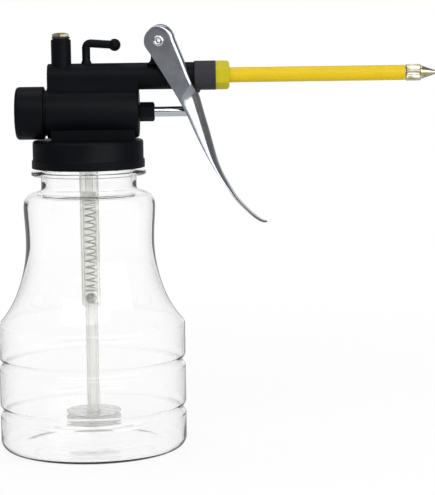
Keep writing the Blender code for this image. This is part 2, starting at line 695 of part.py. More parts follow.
    seat = VALVE_TUBE_TOP + GAP
    socket = rod(VALVE_TUBE_DIAMETER + 2 * GAP, DECK_UNDERSIDE - MM, seat, COARSE)
    boolean(head, head_shape("tube_socket", socket), "DIFFERENCE")
    half = INLET_BORE / 2
    channel = block((STUB_OFFSET - half, -half, seat - GAP), (half, half, seat + INLET_CHANNEL_HEIGHT))
    boolean(head, head_shape("inlet_channel", channel), "DIFFERENCE")
    port = rod(INLET_BORE - GAP, seat + INLET_CHANNEL_HEIGHT / 2, PUMP_AXIS - PUMP_BORE / 4, COARSE)
    boolean(head, head_shape("inlet_port", port, (STUB_OFFSET, 0, 0)), "DIFFERENCE")

    vent = rod(VENT_DIAMETER, DECK_UNDERSIDE - MM, DECK_TOP + MM, 8)
    boolean(head, head_shape("vent", vent, (0, VENT_OFFSET, 0)), "DIFFERENCE")
    pin_hole = rod(RIVET_SHANK + 2 * GAP, -LEVER_HALF_WIDTH, LEVER_HALF_WIDTH, COARSE)
    boolean(head, head_shape("pin_hole", pin_hole, (PIVOT_X, 0, PIVOT_Z), ALONG_Y), "DIFFERENCE")
    return head


def lever_web_top():
    """Upper edge of the lever's web at rest."""
    (_, front, _) = LEVER_CHANNEL_ROWS[0]
    return PIVOT_X + front[0] * LEVER_REACH, PIVOT_Z - front[1] * LEVER_DROP


def stop_outline():
    """Small wedge under the barrel that the lever's web meets at rest, as (X, Z) points."""
    edge_x, edge_z = lever_web_top()
    inside = BARREL_AXIS - BARREL_DIAMETER / 3
    low = edge_z + GAP
    return [(edge_x - 2.2 * MM, inside), (edge_x - 0.9 * MM, low), (edge_x + 0.4 * MM, low),
            (edge_x + 1.6 * MM, inside)]


def make_neck_gasket(look):
    inner = NECK_BORE + 2 * GASKET_MARGIN
    outer = FINISH_DIAMETER + 2 * GASKET_MARGIN
    mesh = ring(inner, outer, 0, GASKET_THICKNESS)
    return place("neck_gasket", mesh, look, (0, 0, GASKET_BASE))


def make_rear_end_cap(look):
    outer = CAP_DIAMETER / 2
    inner = REAR_NECK_DIAMETER / 2 + GAP
    section = [(0, CAP_FLOOR), (inner, CAP_FLOOR), (inner, CAP_OPEN_END), (outer - 0.3 * MM, CAP_OPEN_END),
               (outer, CAP_OPEN_END - 0.3 * MM)]
    section += arc((outer - CAP_EDGE, CAP_REAR + CAP_EDGE), CAP_EDGE, 0, -90, 3)
    section.append((0, CAP_REAR))
    return place("rear_end_cap", turned(section, MEDIUM + 4), look, (0, 0, PUMP_AXIS), ALONG_X)


def make_end_cap_seal(look):
    outer = REAR_NECK_DIAMETER
    start = CAP_FLOOR + GAP
    mesh = ring(outer - 2 * CAP_SEAL_WIDTH, outer - GAP, 0, CAP_SEAL_THICKNESS, COARSE + 4)
    return place("end_cap_seal", mesh, look, (start, 0, PUMP_AXIS), ALONG_X)


def make_piston(look, carrier):
    radius = PUMP_BORE / 2 - PISTON_CLEARANCE
    groove = radius - PISTON_GROOVE_DEPTH
    groove_start = (PISTON_LENGTH - PISTON_GROOVE_LENGTH) / 2
    groove_end = groove_start + PISTON_GROOVE_LENGTH
    hole = ROD_DIAMETER / 2 + GAP
    section = [
        (0, ROD_INSET - GAP),
        (hole, ROD_INSET - GAP),
        (hole, PISTON_LENGTH),
        (radius, PISTON_LENGTH),
        (radius, groove_end),
        (groove, groove_end),
        (groove, groove_start),
        (radius, groove_start),
        (radius, 0.4 * MM),
        (radius - 0.4 * MM, 0),
        (0, 0),
    ]
    return place("piston", turned(section, COARSE + 4), look, (PISTON_FACE, 0, PUMP_AXIS), ALONG_X, carrier)


def make_piston_seal(look, carrier):
    outer = PUMP_BORE / 2 - SEAL_CLEARANCE
    inner = PUMP_BORE / 2 - PISTON_CLEARANCE - PISTON_GROOVE_DEPTH + GAP
    half = (outer - inner) / 2
    width = PISTON_GROOVE_LENGTH / 2 - GAP
    bead = [(inner + half + half * cos(a), width * sin(a))
            for a in (2 * pi * k / 6 for k in range(6))]
    middle = PISTON_FACE + PISTON_LENGTH / 2
    return place("piston_seal", turned(bead, COARSE + 4), look, (middle, 0, PUMP_AXIS), ALONG_X, carrier)


def web_inner_line():
    """Distance from the pivot to the web's inner face, and that face's lean from vertical."""
    (_, top, _), (_, low, _) = LEVER_CHANNEL_ROWS[:2]
    top_x = top[0] * LEVER_REACH
    top_down = top[1] * LEVER_DROP
    lean = atan2(low[0] * LEVER_REACH - top_x, low[1] * LEVER_DROP - top_down)
    return top_x * cos(lean) - top_down * sin(lean) - LEVER_SHEET, lean


def rod_tip():
    """X of the rod's round end, which just clears the web's inner face at rest."""
    distance, lean = web_inner_line()
    arm = PIVOT_Z - PUMP_AXIS
    centre = (distance - ROD_DIAMETER / 2 + arm * sin(lean)) / cos(lean)
    return PIVOT_X + centre + ROD_DIAMETER / 2 - GAP


def make_piston_rod(look, carrier):
    start = PISTON_FACE + ROD_INSET
    length = rod_tip() - start
    radius = ROD_DIAMETER / 2
    section = [(0, length)]
    section += arc((0, length - radius), radius, 90, 0, 5)[1:]
    section += [(radius, 0.3 * MM), (radius - 0.3 * MM, 0), (0, 0)]
    return place("piston_rod", turned(section, COARSE), look, (start, 0, PUMP_AXIS), ALONG_X, carrier)


def make_rod_seal(look):
    start = PUMP_FRONT - GLAND_POCKET_DEPTH + GAP
    mesh = ring(ROD_DIAMETER + GAP, ROD_SEAL_DIAMETER, 0, ROD_SEAL_THICKNESS, COARSE)
    return place("rod_seal", mesh, look, (start, 0, PUMP_AXIS), ALONG_X)


def hexagon_head(name, width, low, high, chamfer, look, at, turn):
    """A hexagon with its far end turned to a chamfer."""
    head = place(name, prism(polygon(6, width, pi / 2), low, high), look, at, turn, sharp=25)
    flat = width / 2 * cos(pi / 6)
    reach = width / 2 + MM
    form = [(0, high + MM), (flat - chamfer, high + MM), (flat - chamfer, high),
            (reach, high - (reach - flat + chamfer) * tan(radians(35))), (reach, low - MM), (0, low - MM)]
    former = place("form_" + name, turned(form, MEDIUM), at=at, turn=turn)
    return boolean(head, former, "INTERSECT")


def make_gland_nut(look):
    at = (PUMP_FRONT, 0, PUMP_AXIS)
    width = GLAND_POCKET + 2 * GLAND_FLANGE
    nut = hexagon_head("gland_nut", width, GAP, GLAND_HEAD_LENGTH, 0.2 * MM, look, at, ALONG_X)
    start = -GLAND_POCKET_DEPTH + ROD_SEAL_THICKNESS + 2 * GAP
    thread = rod(GLAND_POCKET - 2 * GAP, start, 1.0 * MM, COARSE)
    shank = place("form_gland_shank", thread, at=at, turn=ALONG_X)
    boolean(nut, shank, "UNION")
    bore = rod(ROD_DIAMETER + 2 * GAP, start - MM, GLAND_HEAD_LENGTH + MM, COARSE)
    return boolean(nut, place("form_gland_bore", bore, at=at, turn=ALONG_X), "DIFFERENCE")


def make_return_spring(look):
    start = CAP_FLOOR + GAP
    length = PISTON_FACE - GAP - start
    diameter = PUMP_BORE - 2 * RETURN_SPRING_ROOM
    mesh = coil(diameter, RETURN_SPRING_WIRE, RETURN_SPRING_TURNS, length, 10, 3)
    return place("return_spring", mesh, look, (start, 0, PUMP_AXIS), ALONG_X)


def lever_rows():
    """Rows of the pressed lever as (rear, front, half width, bend depth, bend width)."""
    rows = []
    lip = LEVER_HEAD_RADIUS + LEVER_LIP
    for rear_angle, front_angle in LEVER_HEAD_ROWS:
        rear = arc((0, 0), LEVER_HEAD_RADIUS, rear_angle, rear_angle, 1)[0]
        front = arc((0, 0), lip, front_angle, front_angle, 1)[0]
        rows.append((rear, front, LEVER_HALF_WIDTH, LEVER_LIP_BEND, LEVER_LIP_BEND))
    for rear, front, share in LEVER_NECK_ROWS:
        rear = (rear[0] * LEVER_REACH, -rear[1] * LEVER_DROP)
        front = (front[0] * LEVER_REACH, -front[1] * LEVER_DROP)
        rows.append((rear, front, LEVER_HALF_WIDTH * share, LEVER_LIP_BEND, LEVER_LIP_BEND))
    for rear, front, share in LEVER_CHANNEL_ROWS:
        rear = (rear[0] * LEVER_REACH, -rear[1] * LEVER_DROP)
        front = (front[0] * LEVER_REACH, -front[1] * LEVER_DROP)
        depth = hypot(front[0] - rear[0], front[1] - rear[1])
        half = LEVER_HALF_WIDTH * share
        bend = min(LEVER_CHANNEL_BEND, 0.9 * depth)
        rows.append((rear, front, half, bend, min(LEVER_CHANNEL_BEND, 0.7 * half)))
    return rows


def lever_section(rear, front, half, bend_depth, bend_width):
    """Half of one row, from the rear edge of a cheek to the middle of the web."""
    back = Vector((rear[0], 0, rear[1]))
    face = Vector((front[0], 0, front[1]))
    inwards = (back - face).normalized()
    points = [back + Vector((0, half, 0))]
    start = face + inwards * bend_depth
    points.append(back.lerp(start, 0.5) + Vector((0, half, 0)))
    for angle in (0, 30, 60, 90):
        a = radians(angle)
        depth = bend_depth * (1 - sin(a))
        points.append(face + inwards * depth + Vector((0, half - bend_width * (1 - cos(a)), 0)))
    points.append(face + Vector((0, (half - bend_width) / 2, 0)))
    points.append(face.copy())
    return points


def make_trigger_lever(look, pivot):
    bm = bmesh.new()
    rows = []
    for row in lever_rows():
        half = lever_section(*row)
        mirrored = [Vector((p.x, -p.y, p.z)) for p in half[-2::-1]]
        rows.append([bm.verts.new(p) for p in half + mirrored])
    web_start = len(LEVER_HEAD_ROWS) + len(LEVER_NECK_ROWS)
    middle = (len(rows[0]) - 1) // 2
    for k, (above, below) in enumerate(zip(rows, rows[1:])):
        for c in range(len(above) - 1):
            in_web = middle - 2 <= c < middle + 2
            if in_web and k < web_start:
                continue
            bm.faces.new((above[c], above[c + 1], below[c + 1], below[c]))
    loose = [v for v in bm.verts if not v.link_faces]
    bmesh.ops.delete(bm, geom=loose, context="VERTS")
    mesh = bpy.data.meshes.new("shape")
    bmesh.ops.recalc_face_normals(bm, faces=bm.faces)
    if sum((f.normal.x * f.calc_area() for f in bm.faces)) < 0:
        bmesh.ops.reverse_faces(bm, faces=bm.faces)
    bm.to_mesh(mesh)
    bm.free()
    lever = place("trigger_lever", mesh, look, (PIVOT_X, 0, PIVOT_Z), parent=pivot, sharp=40)
    sheet = lever.modifiers.new("sheet", "SOLIDIFY")
    sheet.thickness = LEVER_SHEET
    sheet.offset = -1
    sheet.use_even_offset = True
    hole = rod(RIVET_SHANK + 2 * GAP, -2 * LEVER_HALF_WIDTH, 2 * LEVER_HALF_WIDTH, COARSE)
    at = (PIVOT_X, 0, PIVOT_Z)
    return boolean(lever, place("form_lever_hole", hole, at=at, turn=ALONG_Y), "DIFFERENCE")


def make_pivot_rivet(look, pivot):
    outer = LEVER_HALF_WIDTH + GAP
    top = outer + RIVET_HEAD_HEIGHT
    shank = RIVET_SHANK / 2
    head = RIVET_HEAD / 2
    hole = RIVET_BORE / 2
    round_over = 0.25 * MM
    section = [
        (hole, top - round_over),
        (hole + round_over, top),
        (head - round_over, top),
        (head, top - round_over),
        (head, outer),
        (shank, outer),
        (shank, -outer),
        (head, -outer),
        (head, -top + round_over),
        (head - round_over, -top),
        (hole + round_over, -top),
        (hole, -top + round_over),
    ]
    at = (PIVOT_X, 0, PIVOT_Z)
    return place("pivot_rivet", turned(section, COARSE), look, at, ALONG_Y, pivot)


def make_valve_plug_screw(look):
    base = STUB_TOP + WASHER_THICKNESS + 2 * GAP
    top = PLUG_HEAD_HEIGHT
    at = (STUB_OFFSET, 0, base)
    width = PLUG_HEAD_WIDTH
    plug = place("valve_plug_screw", prism(polygon(6, width, pi / 6), 0, top), look, at, sharp=25)
    reach = width / 2 + MM
    form = [(0, top), (0.28 * width, 0.93 * top), (0.42 * width, 0.66 * top),
            (reach, 0.25 * top), (reach, -MM), (0, -MM)]
    boolean(plug, place("form_plug_dome", turned(form, COARSE + 4), at=at), "INTERSECT")
    shank = rod(VALVE_CHAMBER - 2 * GAP, -PLUG_SHANK_LENGTH, 0.5 * top, COARSE)
    return boolean(plug, place("form_plug_shank", shank, at=at), "UNION")


def make_plug_washer(look):
    outer = PLUG_HEAD_WIDTH * cos(pi / 6)
    mesh = ring(VALVE_CHAMBER, outer, 0, WASHER_THICKNESS, COARSE)
    return place("plug_washer", mesh, look, (STUB_OFFSET, 0, STUB_TOP + GAP))


def ball_height(seat, bore):
    """Centre of the check ball above a round seat, just clear of its edge."""
    return seat + sqrt((BALL_DIAMETER / 2) ** 2 - (bore / 2) ** 2) + GAP


def make_ball(name, look, height, at_x):
    radius = BALL_DIAMETER / 2
    half = [(radius * sin(pi * k / 8), radius * cos(pi * k / 8)) for k in range(9)]
    return place(name, turned(half, COARSE), look, (at_x, 0, height), sharp=60)


def make_outlet_valve_spring(look):
    ball_top = ball_height(VALVE_SEAT, VALVE_SEAT_BORE) + BALL_DIAMETER / 2
    start = ball_top + GAP
    plug_end = STUB_TOP + WASHER_THICKNESS + 2 * GAP - PLUG_SHANK_LENGTH
    length = plug_end - GAP - start
    diameter = VALVE_CHAMBER - 2 * VALVE_SPRING_ROOM
    mesh = coil(diameter, OUTLET_SPRING_WIRE, OUTLET_SPRING_TURNS, length, 8, 3)
    return place("outlet_valve_spring", mesh, look, (STUB_OFFSET, 0, start))


def make_valve_tube(look):
    outer = VALVE_TUBE_DIAMETER / 2
    bore = VALVE_CHAMBER / 2
    throat = INLET_BORE / 2
    section = [
        (throat, VALVE_TUBE_TOP),
        (outer, VALVE_TUBE_TOP),
        (outer, VALVE_TUBE_FOOT + 0.4 * MM),
        (outer - 0.4 * MM, VALVE_TUBE_FOOT),
        (bore, VALVE_TUBE_FOOT),
        (bore, SPRING_LEDGE),
        (throat, SPRING_LEDGE),
    ]
    return place("valve_tube", turned(section, COARSE + 4), look)


def make_inlet_valve_spring(look):
    ball_top = ball_height(SUCTION_TUBE_TOP, SUCTION_TUBE_BORE) + BALL_DIAMETER / 2
    start = ball_top + GAP
    length = SPRING_LEDGE - GAP - start
    diameter = VALVE_CHAMBER - 2 * VALVE_SPRING_ROOM
    mesh = coil(diameter, INLET_SPRING_WIRE, INLET_SPRING_TURNS, length, 7, 3)
    return place("inlet_valve_spring", mesh, look, (0, 0, start))


def make_suction_tube(look):
    low = FOOT_UPPER_BASE + FOOT_RIM + GAP
    mesh = ring(SUCTION_TUBE_BORE, SUCTION_TUBE_DIAMETER, low, SUCTION_TUBE_TOP, COARSE)
    return place("suction_tube", mesh, look)


def make_strainer_foot(look):
    rim = FOOT_DIAMETER / 2
    core = rim - FOOT_FLARE
    socket = SUCTION_TUBE_DIAMETER / 2 + GAP
    throat = SUCTION_TUBE_BORE / 2
    floor = FOOT_UPPER_BASE + FOOT_RIM
    notch = FOOT_UPPER_BASE + 0.42 * FOOT_UPPER_HEIGHT
    upper = [
        (socket, FOOT_TOP),
        (rim, FOOT_TOP),
        (rim, FOOT_TOP - FOOT_RIM),
        (core, notch),
        (rim, floor),
        (rim, FOOT_UPPER_BASE),
        (throat, FOOT_UPPER_BASE),
        (throat, floor),
        (socket, floor),
    ]
    foot = place("strainer_foot", turned(upper, COARSE + 4), look)
    lower = [
        (0, FOOT_LOWER_TOP),
        (rim, FOOT_LOWER_TOP),
        (rim, FOOT_LOWER_TOP - FOOT_RIM),
        (core, FOOT_CLEARANCE),
        (0, FOOT_CLEARANCE),
    ]
    for k in range(4):
        angle = pi / 4 + k * pi / 2
        at = (FOOT_POST_CIRCLE / 2 * cos(angle), FOOT_POST_CIRCLE / 2 * sin(angle), 0)
        post = rod(FOOT_POST_DIAMETER, FOOT_LOWER_TOP - 0.4 * MM, FOOT_UPPER_BASE + 0.3 * MM, 8)
        boolean(foot, place(f"form_foot_post_{k + 1}", post, at=at), "UNION")
    return boolean(foot, place("form_foot_lower", turned(lower, COARSE + 4)), "UNION")


def make_spout_nut(look):
    at = (BARREL_FRONT, 0, BARREL_AXIS)
    nut = hexagon_head("spout_nut", MOUTH_DIAMETER, GAP, SPOUT_NUT_LENGTH, 0.4 * MM, look, at, ALONG_X)
    start = SPOUT_REAR + SPOUT_FLANGE_THICKNESS + GAP - BARREL_FRONT
    shank = rod(MOUTH_BORE - 2 * GAP, start, 1.5 * MM, COARSE + 4)
    boolean(nut, place("form_nut_shank", shank, at=at, turn=ALONG_X), "UNION")
    bore = rod(SPOUT_DIAMETER + 2 * GAP, start - MM, SPOUT_NUT_LENGTH + MM, COARSE + 4)
    return boolean(nut, place("form_nut_bore", bore, at=at, turn=ALONG_X), "DIFFERENCE")


def make_spout_tube(look):
    outer = SPOUT_DIAMETER / 2
    flange = SPOUT_FLANGE_DIAMETER / 2
    bore = SPOUT_BORE / 2
    section = [
        (bore, SPOUT_LENGTH),
        (outer, SPOUT_LENGTH),
        (outer, SPOUT_FLANGE_THICKNESS),
        (flange, SPOUT_FLANGE_THICKNESS),
        (flange, 0),
        (bore, 0),
    ]
    return place("spout_tube", turned(section, COARSE + 4), look, (SPOUT_REAR, 0, BARREL_AXIS), ALONG_X)


def make_spout_seal(look):
    outer = SPOUT_FLANGE_DIAMETER
    mesh = ring(SPOUT_BORE + 2 * SPOUT_SEAL_INSET, outer, 0, SPOUT_SEAL_THICKNESS, COARSE)
    return place("spout_seal", mesh, look, (MOUTH_SEAT + GAP, 0, BARREL_AXIS), ALONG_X)


def make_nozzle_tip(look):
    """The band's outline is scalloped by its knurl; the cone and the spigot are turned."""
    start = SPOUT_TIP_SEAT + GAP
    band = SPOUT_DIAMETER / 2 + TIP_BAND_STEP
    band_end = TIP_BAND_LENGTH
    cone_end = band_end + TIP_CONE_LENGTH
    point_end = cone_end + TIP_POINT_LENGTH
    teeth = []
    for k in range(2 * TIP_KNURLS):
        radius = band - (TIP_KNURL_DEPTH if k % 2 else 0)
        angle = pi * k / TIP_KNURLS
        teeth.append((radius * cos(angle), radius * sin(angle)))
    at = (start, 0, BARREL_AXIS)
    tip = place("nozzle_tip", prism(teeth, 0, band_end), look, at, ALONG_X)
    spigot = SPOUT_BORE / 2 - GAP
    shoulder = band - 2 * TIP_KNURL_DEPTH
    core = [
        (TIP_BORE / 2, point_end),
        (TIP_POINT_DIAMETER / 2 - 0.2 * MM, point_end),
        (TIP_POINT_DIAMETER / 2, cone_end),
        (TIP_CONE_BASE / 2, band_end + 0.4 * MM),
        (shoulder, band_end + 0.3 * MM),
        (shoulder, band_end / 2),
        (spigot, band_end / 2),
        (spigot, -TIP_SPIGOT_LENGTH),
        (TIP_BORE / 2, -TIP_SPIGOT_LENGTH),
    ]
    boolean(tip, place("form_tip_core", turned(core, COARSE), at=at, turn=ALONG_X), "UNION")
    bore = rod(TIP_BORE, -MM, point_end + MM, COARSE)
    return boolean(tip, place("form_tip_bore", bore, at=at, turn=ALONG_X), "DIFFERENCE")


def main():
    start_empty()
    clear = plastic_or_metal("clear_plastic", (0.93, 0.95, 0.95), 0.05, alpha=0.25)
    black = plastic_or_metal("black_plastic", (0.018, 0.018, 0.021), 0.5)
    rubber = plastic_or_metal("black_rubber", (0.02, 0.02, 0.02), 0.8)
    milky = plastic_or_metal("milky_plastic", (0.82, 0.83, 0.80), 0.3, alpha=0.6)
    steel = plastic_or_metal("satin_steel", (0.42, 0.43, 0.46), 0.32, 1.0)
    bright = plastic_or_metal("bright_steel", (0.72, 0.73, 0.75), 0.12, 1.0)
    lemon = plastic_or_metal("lemon_plastic", (0.62, 0.56, 0.01), 0.4)
    yellow = plastic_or_metal("yellow_plastic", (0.80, 0.56, 0.01), 0.35)
    brass = plastic_or_metal("plated_brass", (0.55, 0.48, 0.30), 0.25, 1.0)
    acetal = plastic_or_metal("white_plastic", (0.75, 0.75, 0.72), 0.4)

    pivot = axis_point("trigger_axis", (PIVOT_X, 0, PIVOT_Z))
    carrier = axis_point("piston_axis", (PISTON_FACE, 0, PUMP_AXIS))

    make_bottle(clear)
    make_pump_head(black)
    make_neck_gasket(rubber)
    make_rear_end_cap(black)
    make_end_cap_seal(rubber)
    make_return_spring(bright)
    make_piston(acetal, carrier)
    make_piston_seal(rubber, carrier)
    make_piston_rod(bright, carrier)
    make_rod_seal(rubber)
    make_gland_nut(black)
    make_trigger_lever(steel, pivot)
    make_pivot_rivet(bright, pivot)
    make_valve_plug_screw(brass)
    make_plug_washer(rubber)
    make_ball("outlet_valve_ball", bright, ball_height(VALVE_SEAT, VALVE_SEAT_BORE), STUB_OFFSET)
    make_outlet_valve_spring(bright)
    make_valve_tube(milky)
    make_inlet_valve_spring(bright)
    make_ball("inlet_valve_ball", bright, ball_height(SUCTION_TUBE_TOP, SUCTION_TUBE_BORE), 0)
    make_suction_tube(milky)
    make_strainer_foot(milky)
    make_spout_nut(lemon)
    make_spout_tube(yellow)
    make_spout_seal(rubber)
    make_nozzle_tip(brass)


main()
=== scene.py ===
# %% [markdown]
# # A trigger-pump oil can
#
# The object is a hand oiler. A clear blow-moulded bottle holds the oil, a black moulded head
# screws onto its neck, and a pressed-steel lever works a small piston pump in that head.
# Oil leaves through a rigid yellow spout with a fine metal tip.
#
# The solid shapes come from a CAD part. This lesson dresses it:
# some pieces keep their CAD mesh and get a finish, and others are made again with more detail.

from math import cos, hypot, pi, radians, sin

import bmesh
import bpy
from mathutils import Matrix, Vector


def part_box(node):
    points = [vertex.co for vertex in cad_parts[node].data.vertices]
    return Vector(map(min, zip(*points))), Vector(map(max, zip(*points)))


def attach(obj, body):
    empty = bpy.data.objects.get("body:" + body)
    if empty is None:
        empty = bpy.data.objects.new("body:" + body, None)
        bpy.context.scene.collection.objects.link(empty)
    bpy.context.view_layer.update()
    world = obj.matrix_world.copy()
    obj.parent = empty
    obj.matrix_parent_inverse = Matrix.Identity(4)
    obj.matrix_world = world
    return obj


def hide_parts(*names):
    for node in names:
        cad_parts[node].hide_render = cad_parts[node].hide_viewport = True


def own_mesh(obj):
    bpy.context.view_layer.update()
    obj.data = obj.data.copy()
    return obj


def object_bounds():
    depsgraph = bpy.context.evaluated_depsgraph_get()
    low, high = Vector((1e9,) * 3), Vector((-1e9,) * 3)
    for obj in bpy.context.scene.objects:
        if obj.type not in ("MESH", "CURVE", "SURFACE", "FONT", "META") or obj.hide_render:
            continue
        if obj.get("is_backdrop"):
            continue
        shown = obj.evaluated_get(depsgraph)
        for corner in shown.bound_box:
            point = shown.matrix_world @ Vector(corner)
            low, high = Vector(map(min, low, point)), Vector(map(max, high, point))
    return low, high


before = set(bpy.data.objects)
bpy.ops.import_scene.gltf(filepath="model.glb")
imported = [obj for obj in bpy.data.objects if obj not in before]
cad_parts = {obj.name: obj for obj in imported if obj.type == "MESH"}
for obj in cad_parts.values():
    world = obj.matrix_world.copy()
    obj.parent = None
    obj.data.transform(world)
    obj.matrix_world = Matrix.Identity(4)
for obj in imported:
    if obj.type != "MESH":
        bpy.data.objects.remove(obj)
cad_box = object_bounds()
MM = 0.001
cad_size = [round(s / MM, 1) for s in cad_box[1] - cad_box[0]]
print("CAD pieces:", len(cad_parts), "in a box of", cad_size, "mm")

# %% [markdown]
# ## The camera
#
# The photograph was taken from the front with a long lens, a little above the bottle's middle.
# A long lens keeps the two ends of the spout almost the same size. The photographed bottle leans
# by about a degree, so the camera is rolled by that much and the model itself stays upright.

# %% Camera
IMAGE_WIDTH, IMAGE_HEIGHT = 435, 495
CAMERA_PLACE = (0.0499, -0.7790, 0.17480)
CAMERA_DOWN = 7.05
CAMERA_ROLL = 0.8
FOCUS_IN_PIXELS = 2000.0

camera_data = bpy.data.cameras.new("camera")
camera = bpy.data.objects.new("camera", camera_data)
bpy.context.scene.collection.objects.link(camera)
bpy.context.scene.camera = camera
camera_data.sensor_width = 36.0
camera_data.lens = FOCUS_IN_PIXELS * camera_data.sensor_width / max(IMAGE_WIDTH, IMAGE_HEIGHT)
camera_data.clip_start, camera_data.clip_end = 0.01, 20.0
pitched = Matrix.Rotation(radians(90.0 - CAMERA_DOWN), 4, "X")
rolled = Matrix.Rotation(radians(-CAMERA_ROLL), 4, "Z")
camera.matrix_world = Matrix.Translation(CAMERA_PLACE) @ pitched @ rolled
bpy.context.scene.view_settings.view_transform = "Standard"
print("camera lens", round(camera_data.lens, 1), "mm")

# %% [markdown]
# ## Writing a shader as a sum
#
# A finish is a graph of nodes, and long graphs are hard to read as code. The class Wire holds one
# output socket, and its operators add the Math node that does the sum. So 1 - mask or grain * 0.2
# can be written as in any formula. Any other node comes from the one method named node.

# %% Wires and shaders
class Wire:
    """An output socket that can be used in sums."""

    def __init__(self, shader, socket):
        self.shader = shader
        self.socket = socket

    def math(self, operation, *values):
        return self.shader.node("Math", {"operation": operation}, dict(enumerate(values)))

    def __add__(self, other):
        return self.math("ADD", self, other)

    def __radd__(self, other):
        return self.math("ADD", other, self)

    def __sub__(self, other):
        return self.math("SUBTRACT", self, other)

    def __rsub__(self, other):
        return self.math("SUBTRACT", other, self)

    def __mul__(self, other):
        return self.math("MULTIPLY", self, other)

    def __rmul__(self, other):
        return self.math("MULTIPLY", other, self)

    def __pow__(self, other):
        return self.math("POWER", self, other)


class Shader:
    """The node graph of a material or of the world."""

    def __init__(self, owner):
        owner.use_nodes = True
        self.owner = owner
        self.tree = owner.node_tree
        self.tree.nodes.clear()

    def node(self, kind, settings=None, sockets=None, output=0):
        made = self.tree.nodes.new("ShaderNode" + kind)
        for name, value in (settings or {}).items():
            if name == "stops":
                ramp = made.color_ramp
                while len(ramp.elements) < len(value):
                    ramp.elements.new(1.0)
                for element, (position, shade) in zip(ramp.elements, value):
                    element.position = position
                    element.color = (shade, shade, shade, 1.0)
            else:
                setattr(made, name, value)
        for key, value in (sockets or {}).items():
            if isinstance(value, Wire):
                self.tree.links.new(value.socket, made.inputs[key])
            else:
                made.inputs[key].default_value = value
        return Wire(self, made.outputs[output]) if len(made.outputs) else None

    def coordinates(self, stretch=(1.0, 1.0, 1.0)):
        """Positions in metres, fixed to the piece, stretched for a grain that has a direction."""
        where = self.node("TexCoord", output="Object")
        return self.node("VectorMath", {"operation": "MULTIPLY"}, {0: where, 1: stretch})

    def position(self, axis):
        """How far along the part's x, y or z axis, in metres."""
        return self.node("SeparateXYZ", {}, {0: self.coordinates()}, output="xyz".index(axis))

    def noise(self, size, detail=2.0, stretch=(1.0, 1.0, 1.0), roughness=0.5):
        """Cloudy variation about 0.5, with patches of this size in mm."""
        sockets = {"Vector": self.coordinates(stretch), "Scale": 1.0 / (size * MM), "Detail": detail,
                   "Roughness": roughness}
        return self.node("TexNoise", {}, sockets)

    def ramp(self, value, *stops):
        """Grey levels against a value, straight between (position, level) stops."""
        return self.node("ValToRGB", {"stops": stops}, {"Fac": value})

    def blend(self, share, first, second):
        """A colour between two colours."""
        return self.node("Mix", {"data_type": "RGBA"}, {0: share, 6: first, 7: second}, output=2)

    def bump(self, height, depth, strength=1.0):
        """A relief of this depth in mm."""
        return self.node("Bump", {}, {"Height": height, "Distance": depth * MM, "Strength": strength})

    def surface(self, **sockets):
        named = {key.replace("_", " "): value for key, value in sockets.items()}
        shader = self.node("BsdfPrincipled", {}, named)
        self.node("OutputMaterial", {}, {"Surface": shader})
        return self.owner


def finish(name):
    return Shader(bpy.data.materials.new(name))


def colour(red, green, blue):
    return (red, green, blue, 1.0)


print("shader tools ready")

# %% [markdown]
# ## Black moulded plastic
#
# The head is injection moulded in a mould that was spark-eroded, which leaves a fine even grain.
# The grain is too small to see one by one, but it breaks up each reflection, so the head looks
# matte with soft light edges. A second, larger noise stands for the slight flow marks and handling.
# The barrel's mouth is painted a lighter grey than the rest: a painted highlight for the light
# that falls on it there. A mask from the position along the barrel and from the height picks that
# ring out. A ramp reads values from 0 to 1, so each position in metres is scaled first.

# %% Black plastic
look = finish("black_moulding")
grain = look.noise(0.30, detail=3.0)
handling = look.noise(9.0, detail=2.0)
past_lever = look.ramp(look.position("x") * 10.0, (0.418, 0.0), (0.421, 1.0))
in_barrel = look.ramp(look.position("z") * 5.0, (0.690, 0.0), (0.700, 1.0))
# The mask of the painted highlight on the barrel's mouth.
mouth_highlight_mask = past_lever * in_barrel
moulded = look.blend(handling, colour(0.0018, 0.0021, 0.0034), colour(0.0036, 0.0041, 0.0060))
# Painted highlight: a lighter grey for the barrel's mouth, where the light falls on it.
painted_mouth_highlight = look.blend(grain, colour(0.026, 0.026, 0.030), colour(0.040, 0.040, 0.045))
black_plastic = look.surface(
    Base_Color=look.blend(mouth_highlight_mask, moulded, painted_mouth_highlight),
    Roughness=0.36 + 0.12 * handling + 0.06 * grain,
    Specular_IOR_Level=0.08,
    Normal=look.bump(grain, 0.03, 0.6),
)
print(black_plastic.name, len(look.tree.nodes), "nodes")

# %% [markdown]
# ## Pressed and tumbled steel
#
# The lever is stamped from sheet, then tumbled with stones to take off the burrs. Tumbling leaves
# thousands of tiny dents in every direction, so the metal is bright but no longer a mirror. The
# finish uses a fine speckle in colour, roughness and relief, and broad patches where it was
# handled or plated a little thinner.

# %% Satin steel
look = finish("tumbled_steel")
dents = look.noise(0.30, detail=4.0, roughness=0.6)
patches = look.noise(5.0, detail=3.0, roughness=0.6)
drawn = look.noise(1.2, detail=3.0, stretch=(0.8, 1.0, 0.16))
satin_steel = look.surface(
    Base_Color=look.blend(look.ramp(0.5 * dents + 0.5 * patches, (0.36, 0.0), (0.64, 1.0)),
                          colour(0.33, 0.345, 0.39), colour(0.44, 0.46, 0.51)),
    Metallic=1.0,
    Roughness=0.13 + 0.08 * patches + 0.05 * drawn,
    Normal=look.bump(0.6 * dents + 0.5 * drawn, 0.03, 0.25),
)
print(satin_steel.name, len(look.tree.nodes), "nodes")

# %% [markdown]
# ## Bright plated steel
#
# The piston rod and the rivet are ground and plated. Such a surface is almost a mirror, and what
# it shows is the light and the dark round it. Only very fine rings from the grinding are left,
# which the stretched noise gives.

